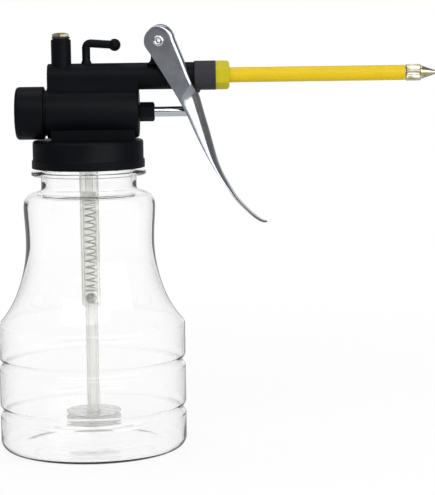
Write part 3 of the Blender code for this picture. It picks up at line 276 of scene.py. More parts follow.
# %% Bright steel
look = finish("bright_steel")
rings = look.noise(0.8, detail=2.0, stretch=(1.0, 0.1, 0.1))
haze = look.noise(5.0)
bright_steel = look.surface(
    Base_Color=look.blend(haze, colour(0.62, 0.64, 0.68), colour(0.80, 0.82, 0.85)),
    Metallic=1.0,
    Roughness=0.07 + 0.10 * haze,
    Normal=look.bump(rings, 0.01, 0.4),
)
print(bright_steel.name, len(look.tree.nodes), "nodes")

# %% [markdown]
# ## Plain steel
#
# The springs and the check balls sit in oil and are not plated. Their steel is darker and a
# little dull, which is why the long spring can be read through the milky tube. The bore of the
# rivet gets the same darker steel as painted shade in the hole.

# %% Plain steel
look = finish("plain_steel")
film = look.noise(1.2, detail=3.0)
plain_steel = look.surface(
    Base_Color=look.blend(film, colour(0.10, 0.105, 0.12), colour(0.19, 0.195, 0.21)),
    Metallic=1.0,
    Roughness=0.28 + 0.14 * film,
    Normal=look.bump(film, 0.01, 0.4),
)
print(plain_steel.name, len(look.tree.nodes), "nodes")

# %% [markdown]
# ## Plated brass
#
# The nozzle tip and the valve plug are turned from brass and thinly nickel plated. The brass
# shows through as a warm grey. The tool leaves fine rings round the axis.

# %% Plated brass
look = finish("plated_brass")
rings = look.noise(0.6, detail=2.0, stretch=(1.0, 0.05, 0.05))
wear = look.ramp(look.noise(2.2, detail=3.0), (0.42, 0.0), (0.62, 1.0))
plated_brass = look.surface(
    Base_Color=look.blend(wear, colour(0.70, 0.68, 0.60), colour(0.46, 0.38, 0.18)),
    Metallic=1.0,
    Roughness=0.10 + 0.14 * wear,
    Normal=look.bump(rings, 0.02, 0.5),
)
print(plated_brass.name, len(look.tree.nodes), "nodes")

# %% [markdown]
# ## The two yellows
#
# The nut is moulded in a lemon yellow, and the spout tube is extruded in a deeper yellow. Both
# plastics let a little light in, which a small amount of subsurface scattering gives. The tube
# shows faint lines along its length from the extrusion die.

# %% Lemon and yellow plastic
look = finish("lemon_plastic")
clouds = look.noise(6.0, detail=2.0)
lemon_plastic = look.surface(
    Base_Color=look.blend(clouds, colour(0.43, 0.368, 0.002), colour(0.49, 0.430, 0.005)),
    Roughness=0.30 + 0.10 * clouds,
    Specular_IOR_Level=0.25,
    Subsurface_Weight=0.10,
    Subsurface_Radius=(0.0012, 0.0009, 0.0002),
    Subsurface_Scale=1.0,
    Normal=look.bump(look.noise(0.4, detail=3.0), 0.02, 0.4),
)
look = finish("yellow_plastic")
clouds = look.noise(9.0, detail=2.0)
die_lines = look.noise(0.9, detail=3.0, stretch=(0.02, 1.0, 1.0))
yellow_plastic = look.surface(
    Base_Color=look.blend(0.6 * clouds + 0.4 * die_lines,
                          colour(0.575, 0.40, 0.002), colour(0.675, 0.48, 0.005)),
    Roughness=0.28 + 0.12 * die_lines,
    Specular_IOR_Level=0.25,
    Subsurface_Weight=0.12,
    Subsurface_Radius=(0.0015, 0.0010, 0.0002),
    Subsurface_Scale=1.0,
    Normal=look.bump(die_lines, 0.03, 0.4),
)
print(lemon_plastic.name, yellow_plastic.name)

# %% [markdown]
# ## Milky tubes
#
# The valve tube is natural polyethylene, a little yellowed by oil. It is neither clear nor white:
# the spring inside can be seen, but softly. Part transparency and part pale surface give that, and
# towards the edges the line of sight meets more plastic, so there it is darker and denser. The
# suction tube and its foot are a whiter and clearer grade.

# %% Milky plastic
look = finish("milky_plastic")
clouds = look.noise(4.0, detail=2.0)
edge = look.node("LayerWeight", {}, {"Blend": 0.5}, output="Facing") ** 2
pale = look.blend(clouds, colour(0.72, 0.72, 0.64), colour(0.82, 0.82, 0.74))
milky_plastic = look.surface(
    Base_Color=look.blend(edge, pale, colour(0.30, 0.31, 0.29)),
    Roughness=0.22 + 0.12 * clouds,
    Specular_IOR_Level=0.3,
    Alpha=0.20 + 0.58 * edge,
    Normal=look.bump(clouds, 0.05, 0.3),
)
look = finish("pale_plastic")
clouds = look.noise(4.0, detail=2.0)
edge = look.node("LayerWeight", {}, {"Blend": 0.5}, output="Facing") ** 2
pale = look.blend(clouds, colour(0.76, 0.76, 0.73), colour(0.84, 0.84, 0.81))
pale_plastic = look.surface(
    Base_Color=look.blend(edge, pale, colour(0.46, 0.46, 0.45)),
    Roughness=0.22 + 0.12 * clouds,
    Specular_IOR_Level=0.25,
    Alpha=0.26 + 0.40 * edge,
    Normal=look.bump(clouds, 0.05, 0.3),
)
print(milky_plastic.name, pale_plastic.name)

# %% [markdown]
# ## Clear bottle plastic
#
# The bottle is stretch-blown PET. A thin clear wall is nearly invisible from the front, and it
# shows mostly at its edges, where the line of sight runs along inside the wall. The shader is
# clear, and towards the edges its colour is painted darker: a painted shade for the dark
# surroundings that those edges show. Its refraction is set to 1.33, which is
# lower than the 1.57 of real PET, so this finish is matched to the photograph and not measured.
# At the waist and the shoulder, where the wall is thicker, the painted dark edge is wider, and more
# shade is painted on one side, so it is widest there. Only the outer face has that wider dark edge,
# so the inner face gets a clearer finish from the same function.

# %% Clear plastic
EDGE_WIDENING = 0.22


def clear_finish(name, outer):
    """PET with a painted dark edge, for the outer face, where that edge is widened, or for the inner face."""
    look = finish(name)
    flow = look.noise(14.0, detail=2.0, stretch=(1.0, 1.0, 0.5))
    facing = look.node("LayerWeight", {}, {"Blend": 0.5}, output="Facing")
    tilt = look.node("SeparateXYZ", {}, {0: look.node("TexCoord", output="Normal")}, output=2)
    upright = look.ramp(tilt * tilt, (0.08, 1.0), (0.30, 0.0))
    # Painted shade: the colour darkens towards the edges, for the dark surroundings that the edges show.
    rim = look.ramp(facing, (0.35, 0.0), (0.55, 0.06), (0.70, 0.18), (0.85, 0.35))
    if outer:
        # Painted shade: on the outer face the dark edge is widened at the waist and shoulder, most on one
        # side.
        shaded_side = look.ramp(10.0 * look.position("x") + 0.5, (0.2, 1.0), (0.8, 0.5))
        waist = look.ramp(8.0 * look.position("z"), (0.54, 0.0), (0.64, 1.0), (0.815, 1.0), (0.83, 0.0))
        band = look.ramp(facing + EDGE_WIDENING * shaded_side * waist, (0.83, 0.0), (0.87, 1.0))
        rim = rim.math("MAXIMUM", rim, band)
    return look.surface(
        Base_Color=look.blend(upright * rim, colour(0.997, 0.999, 0.998), colour(0.0008, 0.0012, 0.0016)),
        Roughness=0.010 + 0.015 * flow,
        Transmission_Weight=1.0,
        IOR=1.33,
        Specular_IOR_Level=0.12,
        Normal=look.bump(flow, 0.25, 0.35),
    )


clear_plastic = clear_finish("clear_plastic", True)
clear_inside = clear_finish("clear_inside", False)
print(clear_plastic.name, clear_inside.name)

# %% [markdown]
# ## Rubber and white acetal
#
# The seals are moulded rubber, dull and slightly dusty. The piston is machined from acetal, a
# white engineering plastic. Both hide inside, but they show when the pump is drawn apart.

# %% Rubber and acetal
look = finish("black_rubber")
dust = look.noise(1.5, detail=4.0)
black_rubber = look.surface(
    Base_Color=look.blend(dust, colour(0.012, 0.012, 0.012), colour(0.030, 0.030, 0.030)),
    Roughness=0.65 + 0.2 * dust,
    Normal=look.bump(dust, 0.03, 0.5),
)
look = finish("white_acetal")
tool_marks = look.noise(0.7, detail=2.0, stretch=(1.0, 0.1, 0.1))
white_acetal = look.surface(
    Base_Color=look.blend(tool_marks, colour(0.68, 0.68, 0.65), colour(0.78, 0.78, 0.75)),
    Roughness=0.35 + 0.15 * tool_marks,
    Normal=look.bump(tool_marks, 0.02, 0.4),
)
print(black_rubber.name, white_acetal.name)

# %% [markdown]
# ## Making turned pieces
#
# Most pieces here are round, so their shape is a section turned about an axis. A real edge is
# never perfectly sharp, and a small rounding is what catches the light. So each section is
# written with sharp corners, and softened() rounds them before it is turned.

# %% Sections and turning
def softened(points, radius, steps=3, closed=True):
    """Round each corner of a section with a small curve."""
    result = []
    count = len(points)
    for k, here in enumerate(points):
        if not closed and k in (0, count - 1):
            result.append(here)
            continue
        at = Vector(here)
        before = Vector(points[k - 1]) - at
        after = Vector(points[(k + 1) % count]) - at
        reach = min(radius, 0.45 * before.length, 0.45 * after.length)
        if here[0] <= 0 or before.angle(after) > 3.0 or reach < 0.01:
            result.append(here)
            continue
        start, end = at + before.normalized() * reach, at + after.normalized() * reach
        for s in range(steps + 1):
            t = s / steps
            result.append(tuple(start * (1 - t) ** 2 + at * 2 * t * (1 - t) + end * t * t))
    return result


def turned(section, steps=96, bulge=None):
    """Turn a closed section of (radius, height) points in mm round Z."""
    bm = bmesh.new()
    loops = []
    for radius, height in section:
        if radius < 0.001:
            loops.append([bm.verts.new((0, 0, height))])
            continue
        loop = []
        for k in range(steps):
            angle = 2 * pi * k / steps
            reach = radius + (bulge(angle, radius, height) if bulge else 0.0)
            loop.append(bm.verts.new((reach * cos(angle), reach * sin(angle), height)))
        loops.append(loop)
    pairs = list(zip(loops, loops[1:]))
    if section[0][0] > 0.001 or section[-1][0] > 0.001:
        pairs.append((loops[-1], loops[0]))
    for first, second in pairs:
        if len(first) == 1 and len(second) == 1:
            continue
        for k in range(steps):
            m = (k + 1) % steps
            if len(first) == 1:
                bm.faces.new((first[0], second[m], second[k]))
            elif len(second) == 1:
                bm.faces.new((first[k], first[m], second[0]))
            else:
                bm.faces.new((first[k], first[m], second[m], second[k]))
    return bm


ALONG_X = Matrix(((0, 0, 1, 0), (1, 0, 0, 0), (0, 1, 0, 0), (0, 0, 0, 1)))
ALONG_Y = Matrix(((0, 1, 0, 0), (0, 0, 1, 0), (1, 0, 0, 0), (0, 0, 0, 1)))


def mesh_from(name, bm):
    """A mesh with its faces turned outwards."""
    bmesh.ops.recalc_face_normals(bm, faces=bm.faces)
    mesh = bpy.data.meshes.new(name)
    bm.to_mesh(mesh)
    bm.free()
    return mesh


def piece(name, bm, material, body, replaced, at=(0, 0, 0), turn=None, sharp=40):
    """Put a mesh, made in mm, in the scene as a piece that rides on a body."""
    mesh = mesh_from(name, bm)
    if turn:
        mesh.transform(turn)
    mesh.transform(Matrix.Scale(MM, 4) @ Matrix.Translation(at))
    mesh.shade_smooth()
    mesh.set_sharp_from_angle(angle=radians(sharp))
    mesh.materials.append(material)
    item = bpy.data.objects.new(name, mesh)
    bpy.context.scene.collection.objects.link(item)
    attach(item, body)
    if replaced:
        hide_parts(*replaced)
    print(name, len(mesh.polygons), "faces")
    return item


def round_edges(item, name, width, segments, angle):
    """A bevel, in mm, on the edges that are sharper than an angle."""
    bevel = item.modifiers.new(name, "BEVEL")
    bevel.width, bevel.segments = width * MM, segments
    bevel.limit_method, bevel.angle_limit = "ANGLE", radians(angle)
    bevel.harden_normals = True


# %% [markdown]
# ## The bottle
#
# A blown bottle starts as a short moulded tube that is heated and blown out into a cold mould.
# Its neck keeps the precise thread and ring of the moulded tube, and the rest is a thin even
# shell. The section below is the outside from the base's centre to the rim and the inside back
# again. The wall is thicker at the heel and at the shoulder, where the plastic stretched less.

# %% Bottle section
BOTTLE_RADIUS = 36.7
HEEL = 4.0
BAND_TOP = 48.4
GROOVES = (15.6, 34.5)
GROOVE_HALF_WIDTH, GROOVE_DEPTH = 2.6, 1.4
WAIST, SHOULDER = (25.1, 82.0), (25.7, 95.6)
NECK_RADIUS, NECK_FOOT = 18.6, 103.2
RING_RADIUS, RING_LOW, RING_HIGH = 22.35, 108.0, 109.4
FINISH_RADIUS, RIM_HEIGHT, NECK_BORE_RADIUS = 18.2, 118.3, 16.6


def arc(centre, radius, start, end, steps):
    angles = [radians(start + (end - start) * k / steps) for k in range(steps + 1)]
    return [(centre[0] + radius * cos(a), centre[1] + radius * sin(a)) for a in angles]


def bezier(start, handle_a, handle_b, end, steps):
    """Points on a cubic curve, without its first."""
    points = []
    for k in range(1, steps + 1):
        t = k / steps
        weights = ((1 - t) ** 3, 3 * t * (1 - t) ** 2, 3 * t * t * (1 - t), t ** 3)
        corners = (start, handle_a, handle_b, end)
        points.append(tuple(sum(w * c[i] for w, c in zip(weights, corners)) for i in (0, 1)))
    return points


def bottle_outside():
    stand = BOTTLE_RADIUS - 2 * HEEL
    points = softened([(0, 0), (7.0, 0), (17.0, 0.9), (stand - 5.0, 0.9), (stand, 0),
                       (BOTTLE_RADIUS - HEEL, 0)], 4.5, 8, closed=False)
    points += arc((BOTTLE_RADIUS - HEEL, HEEL), HEEL, -84, 0, 14)
    for height in GROOVES:
        for k in range(-8, 9):
            t = k / 8
            radius = BOTTLE_RADIUS - GROOVE_DEPTH * (1 + cos(pi * t)) / 2
            points.append((radius, height + GROOVE_HALF_WIDTH * t))
    bell = (BOTTLE_RADIUS - 1.3, BAND_TOP + 2.6)
    points.append((BOTTLE_RADIUS, BAND_TOP))
    points += bezier((BOTTLE_RADIUS, BAND_TOP), (BOTTLE_RADIUS, BAND_TOP + 1.3),
                     (bell[0] + 0.91, bell[1] - 1.04), bell, 6)
    rise, taper = WAIST[1] - bell[1], bell[0] - WAIST[0]
    points += bezier(bell, (bell[0] - 0.56 * taper, bell[1] + 0.21 * rise),
                     (WAIST[0], WAIST[1] - 0.39 * rise), WAIST, 22)
    rise = SHOULDER[1] - WAIST[1]
    points += bezier(WAIST, (WAIST[0], WAIST[1] + 0.44 * rise),
                     (SHOULDER[0], SHOULDER[1] - 0.3 * rise), SHOULDER, 8)
    top, step = NECK_FOOT - SHOULDER[1], SHOULDER[0] - NECK_RADIUS
    crown = (NECK_RADIUS + 0.33 * step, NECK_FOOT - 0.26 * top)
    points += bezier(SHOULDER, (SHOULDER[0], SHOULDER[1] + 0.42 * top),
                     (crown[0] + 0.42 * step, crown[1] - 0.04 * top), crown, 12)
    points += bezier(crown, (crown[0] - 0.18 * step, crown[1]), (NECK_RADIUS, NECK_FOOT - 0.17 * top),
                     (NECK_RADIUS, NECK_FOOT), 6)
    return points


def wall_at(height):
    """Wall thickness of the blown shell, in mm."""
    heel = max(0.0, 1 - height / 9.0)
    upper = max(0.0, min(1.0, (height - 52.0) / 24.0, (98.0 - height) / 8.0))
    return 0.95 + 0.5 * heel + 0.2 * upper


def inset(points):
    moved = []
    for k, (x, y) in enumerate(points):
        before, after = points[max(k - 1, 0)], points[min(k + 1, len(points) - 1)]
        along = Vector((after[0] - before[0], after[1] - before[1])).normalized()
        moved.append((max(x - along.y * wall_at(y), 0), y + along.x * wall_at(y)))
    return moved


outside = bottle_outside()
print("bottle section", len(outside), "points outside")

# %% [markdown]
# The neck carries a screw thread. It is one raised helix, so the turned surface gets a bulge that
# depends on both the angle and the height: the ridge climbs by one pitch in each full turn.

# %% Bottle with its thread
THREAD_PITCH, THREAD_DEPTH, THREAD_HALF_WIDTH = 3.0, 0.75, 0.85
THREAD_LOW, THREAD_HIGH = 111.2, 117.0
THREAD_ZONE, THREAD_ROWS = (110.2, 117.7), 34


def thread(angle, radius, height):
    if radius < FINISH_RADIUS - 0.1 or not RING_HIGH < height < RIM_HEIGHT:
        return 0.0
    turns = (height - THREAD_LOW) / THREAD_PITCH - angle / (2 * pi)
    offset = abs(turns - round(turns)) * THREAD_PITCH
    centre = height - (turns - round(turns)) * THREAD_PITCH
    ends = min(1.0, max(0.0, (centre - THREAD_LOW) / 0.8)) * min(1.0, max(0.0, (THREAD_HIGH - centre) / 0.8))
    return THREAD_DEPTH * ends * max(0.0, min(1.0, (THREAD_HALF_WIDTH - offset) / 0.45))


neck = softened([(NECK_RADIUS, NECK_FOOT + 1), (NECK_RADIUS, RING_LOW), (RING_RADIUS, RING_LOW),
                 (RING_RADIUS, RING_HIGH), (FINISH_RADIUS, RING_HIGH), (FINISH_RADIUS, THREAD_ZONE[0])],
                0.45, 3, closed=False)
inside = [p for p in inset(outside) if p[1] < 102.4]
throat = inside[-1]
neck += [(FINISH_RADIUS, THREAD_ZONE[0] + (THREAD_ZONE[1] - THREAD_ZONE[0]) * k / THREAD_ROWS)
         for k in range(1, THREAD_ROWS + 1)]
neck += softened([(FINISH_RADIUS, 117.8), (FINISH_RADIUS, RIM_HEIGHT), (NECK_BORE_RADIUS, RIM_HEIGHT),
                  (NECK_BORE_RADIUS, RING_LOW)], 0.5, 3, closed=False)
neck += bezier((NECK_BORE_RADIUS, RING_LOW), (NECK_BORE_RADIUS, RING_LOW - 2.4),
               (throat[0] - 0.4, throat[1] + 1.6), throat, 8)[:-1]
bottle = piece("bottle_shell", turned(outside + neck + inside[::-1], 144, thread), clear_plastic,
               "bottle_body", ["bottle"], sharp=60)
bottle.data.materials.append(clear_inside)
for face in bottle.data.polygons:
    outward = face.center.x * face.normal.x + face.center.y * face.normal.y
    if outward < 0 and face.center.z / MM < RING_LOW:
        face.material_index = 1

# %% [markdown]
# ## The lever
#
# The lever is one pressing: a strip of sheet is folded into a channel, with two cheeks and a web
# between them, and it narrows to a curved tail. Near the pivot only the cheeks go on, and their
# front edges are rolled in. Each row below goes across the channel from one rear edge, round the
# bend and the web, to the other rear edge. Smooth rows in between come from a spline.

# %% Lever rows
PIVOT = (28.2, 159.6)
LEVER_REACH, LEVER_DROP, LEVER_HALF_WIDTH, LEVER_SHEET = 41.3, 71.0, 7.3, 1.0
CHEEK_RADIUS, LIP_RADIUS, LIP_BEND, CHANNEL_BEND = 5.5, 6.4, 1.7, 7.0
CHEEK_ANGLES = ((128, 118), (146, 96), (164, 74), (184, 50), (204, 25))
LIP_GROWTH = (0.25, 0.75, 1.0, 1.0, 1.0)
NECK_ROWS = (((-.075, .072), (.157, -.006)), ((.022, .162), (.223, .089)), ((.116, .252), (.283, .183)),
             ((.151, .288), (.320, .240)))
CHANNEL_ROWS = (
    ((.180, .318), (.368, .289), 1.0), ((.254, .400), (.421, .400), 1.0), ((.324, .493), (.465, .490), 1.0),
    ((.392, .577), (.504, .577), 1.0), ((.458, .651), (.540, .654), 1.0), ((.530, .723), (.588, .724), 1.0),
    ((.625, .806), (.656, .797), 1.0), ((.707, .870), (.726, .863), .97), ((.814, .937), (.831, .930), .88),
    ((.896, .979), (.908, .970), .70), ((.954, .999), (.961, .990), .50), ((.998, 1.003), (1.000, .996), .26))


def in_mm(rear, front):
    """A row's rear and front edge in mm, from shares of the lever's reach and drop."""
    return (rear[0] * LEVER_REACH, -rear[1] * LEVER_DROP, front[0] * LEVER_REACH, -front[1] * LEVER_DROP)


def lever_rows():
    """Rear x and z, front x and z, half width, bend depth and bend width of each row."""
    rows = []
    for (rear, front), grown in zip(CHEEK_ANGLES, LIP_GROWTH):
        r, f = radians(rear), radians(front)
        lip = CHEEK_RADIUS + (LIP_RADIUS - CHEEK_RADIUS) * grown
        bend = LIP_BEND * (0.45 + 0.55 * grown)
        rows.append((CHEEK_RADIUS * cos(r), CHEEK_RADIUS * sin(r), lip * cos(f), lip * sin(f),
                     LEVER_HALF_WIDTH, bend, bend))
    for rear, front in NECK_ROWS:
        rows.append(in_mm(rear, front) + (LEVER_HALF_WIDTH, LIP_BEND, LIP_BEND))
    for rear, front, share in CHANNEL_ROWS:
        row = in_mm(rear, front)
        depth = hypot(row[2] - row[0], row[3] - row[1])
        half = LEVER_HALF_WIDTH * share
        rows.append(row + (half, min(CHANNEL_BEND, 0.92 * depth), min(CHANNEL_BEND, 0.85 * half)))
    return rows


def spline(before, start, end, after, t):
    """One number on a curve through start and end."""
    return 0.5 * (2 * start + (end - before) * t + (2 * before - 5 * start + 4 * end - after) * t * t
                  + (3 * start - before - 3 * end + after) * t ** 3)


def between(rows, steps):
    """The rows with smooth rows in between."""
    result = []
    for k in range(len(rows) - 1):
        around = [rows[max(k - 1, 0)], rows[k], rows[k + 1], rows[min(k + 2, len(rows) - 1)]]
        for s in range(steps):
            result.append(tuple(spline(*[r[i] for r in around], s / steps) for i in range(len(rows[0]))))
    return result + [rows[-1]]


print("lever rows", len(lever_rows()))

# %% [markdown]
# The rows are joined face by face into one open skin. The faces of the web are left out near the
# pivot, where the real sheet is cut away so that the lever can straddle the lug.

# %% Lever mesh
ROW_STEPS = 4
WEB_START = (len(CHEEK_ANGLES) + len(NECK_ROWS)) * ROW_STEPS


def lever_section(row):
    """Points across the channel in mm about the pivot, from one rear edge to the other."""
    back, face = Vector((row[0], 0, row[1])), Vector((row[2], 0, row[3]))
    half, bend_depth, bend_width = row[4:]
    inwards = (back - face).normalized()
    start = face + inwards * bend_depth
    points = [back.lerp(start, k / 5) + Vector((0, half, 0)) for k in range(5)]
    for k in range(9):
        a = k * pi / 16
        sideways = Vector((0, half - bend_width * (1 - cos(a)), 0))
        points.append(face + inwards * bend_depth * (1 - sin(a)) + sideways)
    points += [face + Vector((0, (half - bend_width) * (1 - k / 4), 0)) for k in range(1, 5)]
    return points + [Vector((p.x, -p.y, p.z)) for p in points[-2::-1]]


bm = bmesh.new()
grid = [[bm.verts.new(p) for p in lever_section(row)] for row in between(lever_rows(), ROW_STEPS)]
middle = len(grid[0]) // 2
for k, (above, below) in enumerate(zip(grid, grid[1:])):
    for c in range(len(above) - 1):
        if k < WEB_START and middle - 4 <= c < middle + 4:
            continue
        bm.faces.new((above[c], above[c + 1], below[c + 1], below[c]))
bmesh.ops.delete(bm, geom=[v for v in bm.verts if not v.link_faces], context="VERTS")
lever = piece("lever_pressing", bm, satin_steel, "trigger", ["trigger_lever"],
              at=(PIVOT[0], 0, PIVOT[1]), sharp=60)
outwards = sum(f.normal.x * f.area for f in lever.data.polygons)
print("skin faces", "outwards" if outwards > 0 else "inwards")

# %% [markdown]
# The rows are only a skin. Blender's Solidify modifier gives it the thickness of the sheet. The
# press draws the tail out thinner, so a vertex group thins the sheet there. Then both cheeks are
# drilled in one pass for the rivet, by a Boolean whose result is kept as the new mesh. Last, a
# small bevel rounds the cut edges as tumbling does.

# %% Lever thickness
if outwards < 0:
    lever.data.flip_normals()
sheet = lever.modifiers.new("sheet", "SOLIDIFY")
sheet.thickness, sheet.offset, sheet.use_quality_normals = LEVER_SHEET * MM, -1, True
coined = lever.vertex_groups.new(name="sheet")
drop = [(PIVOT[1] - v.co.z / MM) / LEVER_DROP for v in lever.data.vertices]
for v, share in zip(lever.data.vertices, drop):
    coined.add([v.index], 1.0 - 0.55 * max(0.0, min(1.0, (share - 0.60) / 0.35)), "REPLACE")
sheet.vertex_group = coined.name
RIVET_HOLE, DRILL_REACH = 1.6, 9.0
drill_section = [(0, -DRILL_REACH), (RIVET_HOLE, -DRILL_REACH), (RIVET_HOLE, DRILL_REACH), (0, DRILL_REACH)]
drill_mesh = mesh_from("drill", turned(drill_section, 48))
drill_mesh.transform(Matrix.Scale(MM, 4) @ Matrix.Translation((PIVOT[0], 0, PIVOT[1])) @ ALONG_Y)
drill = bpy.data.objects.new("drill", drill_mesh)
bpy.context.scene.collection.objects.link(drill)
hole = lever.modifiers.new("hole", "BOOLEAN")
hole.object, hole.operation, hole.solver = drill, "DIFFERENCE", "EXACT"
bpy.context.view_layer.update()
drilled = bpy.data.meshes.new_from_object(lever.evaluated_get(bpy.context.evaluated_depsgraph_get()))
lever.modifiers.clear()
lever.data = drilled
bpy.data.objects.remove(drill)
drilled.shade_smooth()
drilled.set_sharp_from_angle(angle=radians(50))
round_edges(lever, "tumbled", 0.28, 3, 50)
print("lever sheet", LEVER_SHEET, "mm,", len(drilled.polygons), "faces after drilling")

# %% [markdown]
# ## The nozzle tip
#
# The tip is turned from a brass bar. Its band is knurled, so that fingers can turn it, and the
# knurl is a real relief here: the radius goes up and down round the band. Past the band a long
# cone ends in a fine point with a small hole.

# %% Nozzle tip
TIP_START, SPOUT_AXIS = 123.85, 145.95
KNURLS, KNURL_DEPTH, BAND_LENGTH, BAND_RADIUS = 22, 0.3, 5.8, 3.2


def knurl(angle, radius, height):
    if radius < BAND_RADIUS - 0.05 or not 0.3 < height < BAND_LENGTH - 0.3:
        return 0.0
    return -KNURL_DEPTH * abs(((angle * KNURLS / (2 * pi)) % 1.0) * 2 - 1) ** 1.5


band = [(2.9, 0.0), (BAND_RADIUS, 0.3)] + [(BAND_RADIUS, 0.35 + 5.1 * k / 8) for k in range(9)]
band += [(BAND_RADIUS, BAND_LENGTH - 0.3), (2.95, BAND_LENGTH)]
cone = softened([(2.6, BAND_LENGTH), (2.6, BAND_LENGTH + 0.4), (0.85, 11.2), (0.6, 13.6), (0.4, 13.6),
                 (0.4, 10.0)], 0.2, 3, closed=False)
rear = [(0.4, -4.5), (1.45, -4.5), (1.45, 0.0)]
piece("tip_turned", turned(band + cone + rear, KNURLS * 8, knurl), plated_brass, "spout",
      ["nozzle_tip"], at=(TIP_START, 0, SPOUT_AXIS), turn=ALONG_X, sharp=30)

# %% [markdown]
# ## The rivet
#
# The lever hangs on a tubular rivet. Each end of the tube is rolled outwards into a round flange,
# which shows as a bright ring with a hole in it. The section of the rolled end is half an
# ellipse, and the piece is turned like the tip.

# %% Rivet
RIVET_SHANK, RIVET_HEAD, RIVET_BORE, RIVET_INSIDE, RIVET_END = 1.45, 2.1, 0.8, 7.6, 8.1
ROLL_STEPS, ROLL_FOOT = 12, 0.15
crest, half = (RIVET_HEAD + RIVET_BORE) / 2, (RIVET_HEAD - RIVET_BORE) / 2
rise = RIVET_END - RIVET_INSIDE - ROLL_FOOT
end = [(RIVET_SHANK, RIVET_INSIDE), (RIVET_HEAD - 0.1, RIVET_INSIDE)]
end += [(crest + half * cos(pi * k / ROLL_STEPS), RIVET_INSIDE + ROLL_FOOT + rise * sin(pi * k / ROLL_STEPS))
        for k in range(ROLL_STEPS + 1)]
flanged = end[::-1] + [(r, -h) for r, h in end]
rivet = piece("rivet_turned", turned(flanged, 64), bright_steel, "head", ["pivot_rivet"],
              at=(PIVOT[0], 0, PIVOT[1]), turn=ALONG_Y, sharp=60)
# Painted shade: the faces of the bore get the darker plain steel.
rivet.data.materials.append(plain_steel)
for face in rivet.data.polygons:
    reach = hypot(face.center.x / MM - PIVOT[0], face.center.z / MM - PIVOT[1])
    if reach < RIVET_BORE + 0.08:
        face.material_index = 1

# %% [markdown]
# ## The plug's washer
#
# A rubber washer seals the valve plug on its stub. The screw squeezes it, so it bulges a little
# and leaves no daylight above or below. It is a turned ring with a full, rounded edge.

# %% Washer
low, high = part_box("plug_washer")
WASHER_BULGE, WASHER_SQUEEZE = 0.55, 0.25
washer_radius = (high[0] - low[0]) / 2 / MM
bottom, top = low[2] / MM - WASHER_SQUEEZE, high[2] / MM + WASHER_SQUEEZE
edge = [(2.8, bottom), (washer_radius, bottom), (washer_radius + WASHER_BULGE, (bottom + top) / 2),
        (washer_radius, top), (2.8, top)]
piece("washer_squeezed", turned(softened(edge, 0.3, 3), 48), black_rubber, "head",
      ["plug_washer"], at=((low[0] + high[0]) / 2 / MM, 0, 0), sharp=60)

# %% [markdown]
# ## The spout nut
#
# The nut is a moulded hexagon with a threaded shank that screws into the barrel's mouth. Its
# section is turned like the others, and a bulge gives it the rest: outside it pulls the circle in
# to a hexagon, whose corners are slightly blunt, and on the shank it raises the thread.

# %% Spout nut
NUT_CORNERS, NUT_CHAMFER, NUT_BLUNT = 5.7, 0.4, 0.12
NUT_FACE, NUT_SHANK, NUT_BORE = 50.17, 4.3, 3.25
NUT_PITCH, NUT_THREAD = 1.5, 0.14
low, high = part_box("spout_nut")
nut_start, nut_end = low[0] / MM, high[0] / MM
apothem = NUT_CORNERS * cos(pi / 6)


def nut_form(angle, radius, height):
    if radius > apothem - NUT_CHAMFER - 0.01:
        side = (angle - pi / 2) % (pi / 3) - pi / 6
        return min(0.0, min(apothem / cos(side), NUT_CORNERS - NUT_BLUNT) - radius)
    if abs(radius - NUT_SHANK) < 0.01 and nut_start + 0.5 < height < NUT_FACE - 0.6:
        turn = ((height - nut_start) / NUT_PITCH - angle / (2 * pi)) % 1.0
        return NUT_THREAD * (1 - abs(4 * turn - 2))
    return 0.0


cone_low, cone_high = apothem - NUT_CHAMFER, NUT_CORNERS + 0.1
section = [(NUT_BORE, nut_start), (NUT_BORE, nut_end)]
section += [(cone_low + (cone_high - cone_low) * k / 8, nut_end - (cone_high - cone_low) * k / 8 * 0.7)
            for k in range(9)]
section += [(NUT_CORNERS, NUT_FACE + 0.2), (NUT_CORNERS - 0.2, NUT_FACE)]
rows = 40
section += [(NUT_SHANK, NUT_FACE + (nut_start - NUT_FACE) * k / rows) for k in range(rows + 1)]
piece("nut_moulded", turned(section, 96, nut_form), lemon_plastic, "nut", ["spout_nut"],
      at=(0, 0, SPOUT_AXIS), turn=ALONG_X, sharp=40)

# %% [markdown]
# ## Springs
#
# Three coil springs work inside. Each is a wire that follows a helix, with its end turns closed
# so that it stands square. The long one in the valve tube can be seen from outside.

# %% Coil springs
def coil(diameter, wire, turns, length, steps=28, sides=8):
    """A compression spring along Z with closed end turns."""
    middle, closed, span = (diameter - wire) / 2, 1.35 * wire, length - wire
    pitch = (span - 2 * closed) / (turns - 2)
    bm = bmesh.new()
    rings = []
    for k in range(turns * steps + 1):
        turn = k / steps
        if turn < 1:
            height = closed * turn
        elif turn > turns - 1:
            height = span - closed * (turns - turn)
        else:
            height = closed + pitch * (turn - 1)
        out = Vector((cos(2 * pi * turn), sin(2 * pi * turn), 0))
        centre = out * middle + Vector((0, 0, height + wire / 2))
        ring = []
        for s in range(sides):
            a = 2 * pi * s / sides
            ring.append(bm.verts.new(centre + (out * cos(a) + Vector((0, 0, sin(a)))) * wire / 2))
        rings.append(ring)
    for below, above in zip(rings, rings[1:]):
        for s in range(sides):
            t = (s + 1) % sides
            bm.faces.new((below[s], below[t], above[t], above[s]))
    bm.faces.new(rings[0])
    bm.faces.new(rings[-1][::-1])
    return bm


def spring_between(name, node, axis, diameter, wire, turns):
    """A finer coil in the place of a CAD spring."""
    low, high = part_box(node)
    index = "xyz".index(axis)
    length = (high[index] - low[index]) / MM
    centre = [(a + b) / 2 / MM for a, b in zip(low, high)]
    centre[index] = low[index] / MM
    made = piece(name, coil(diameter, wire, turns, length), plain_steel, "head", [node],
                 at=centre, turn=ALONG_X if axis == "x" else None, sharp=60)
    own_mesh(made)
    return made


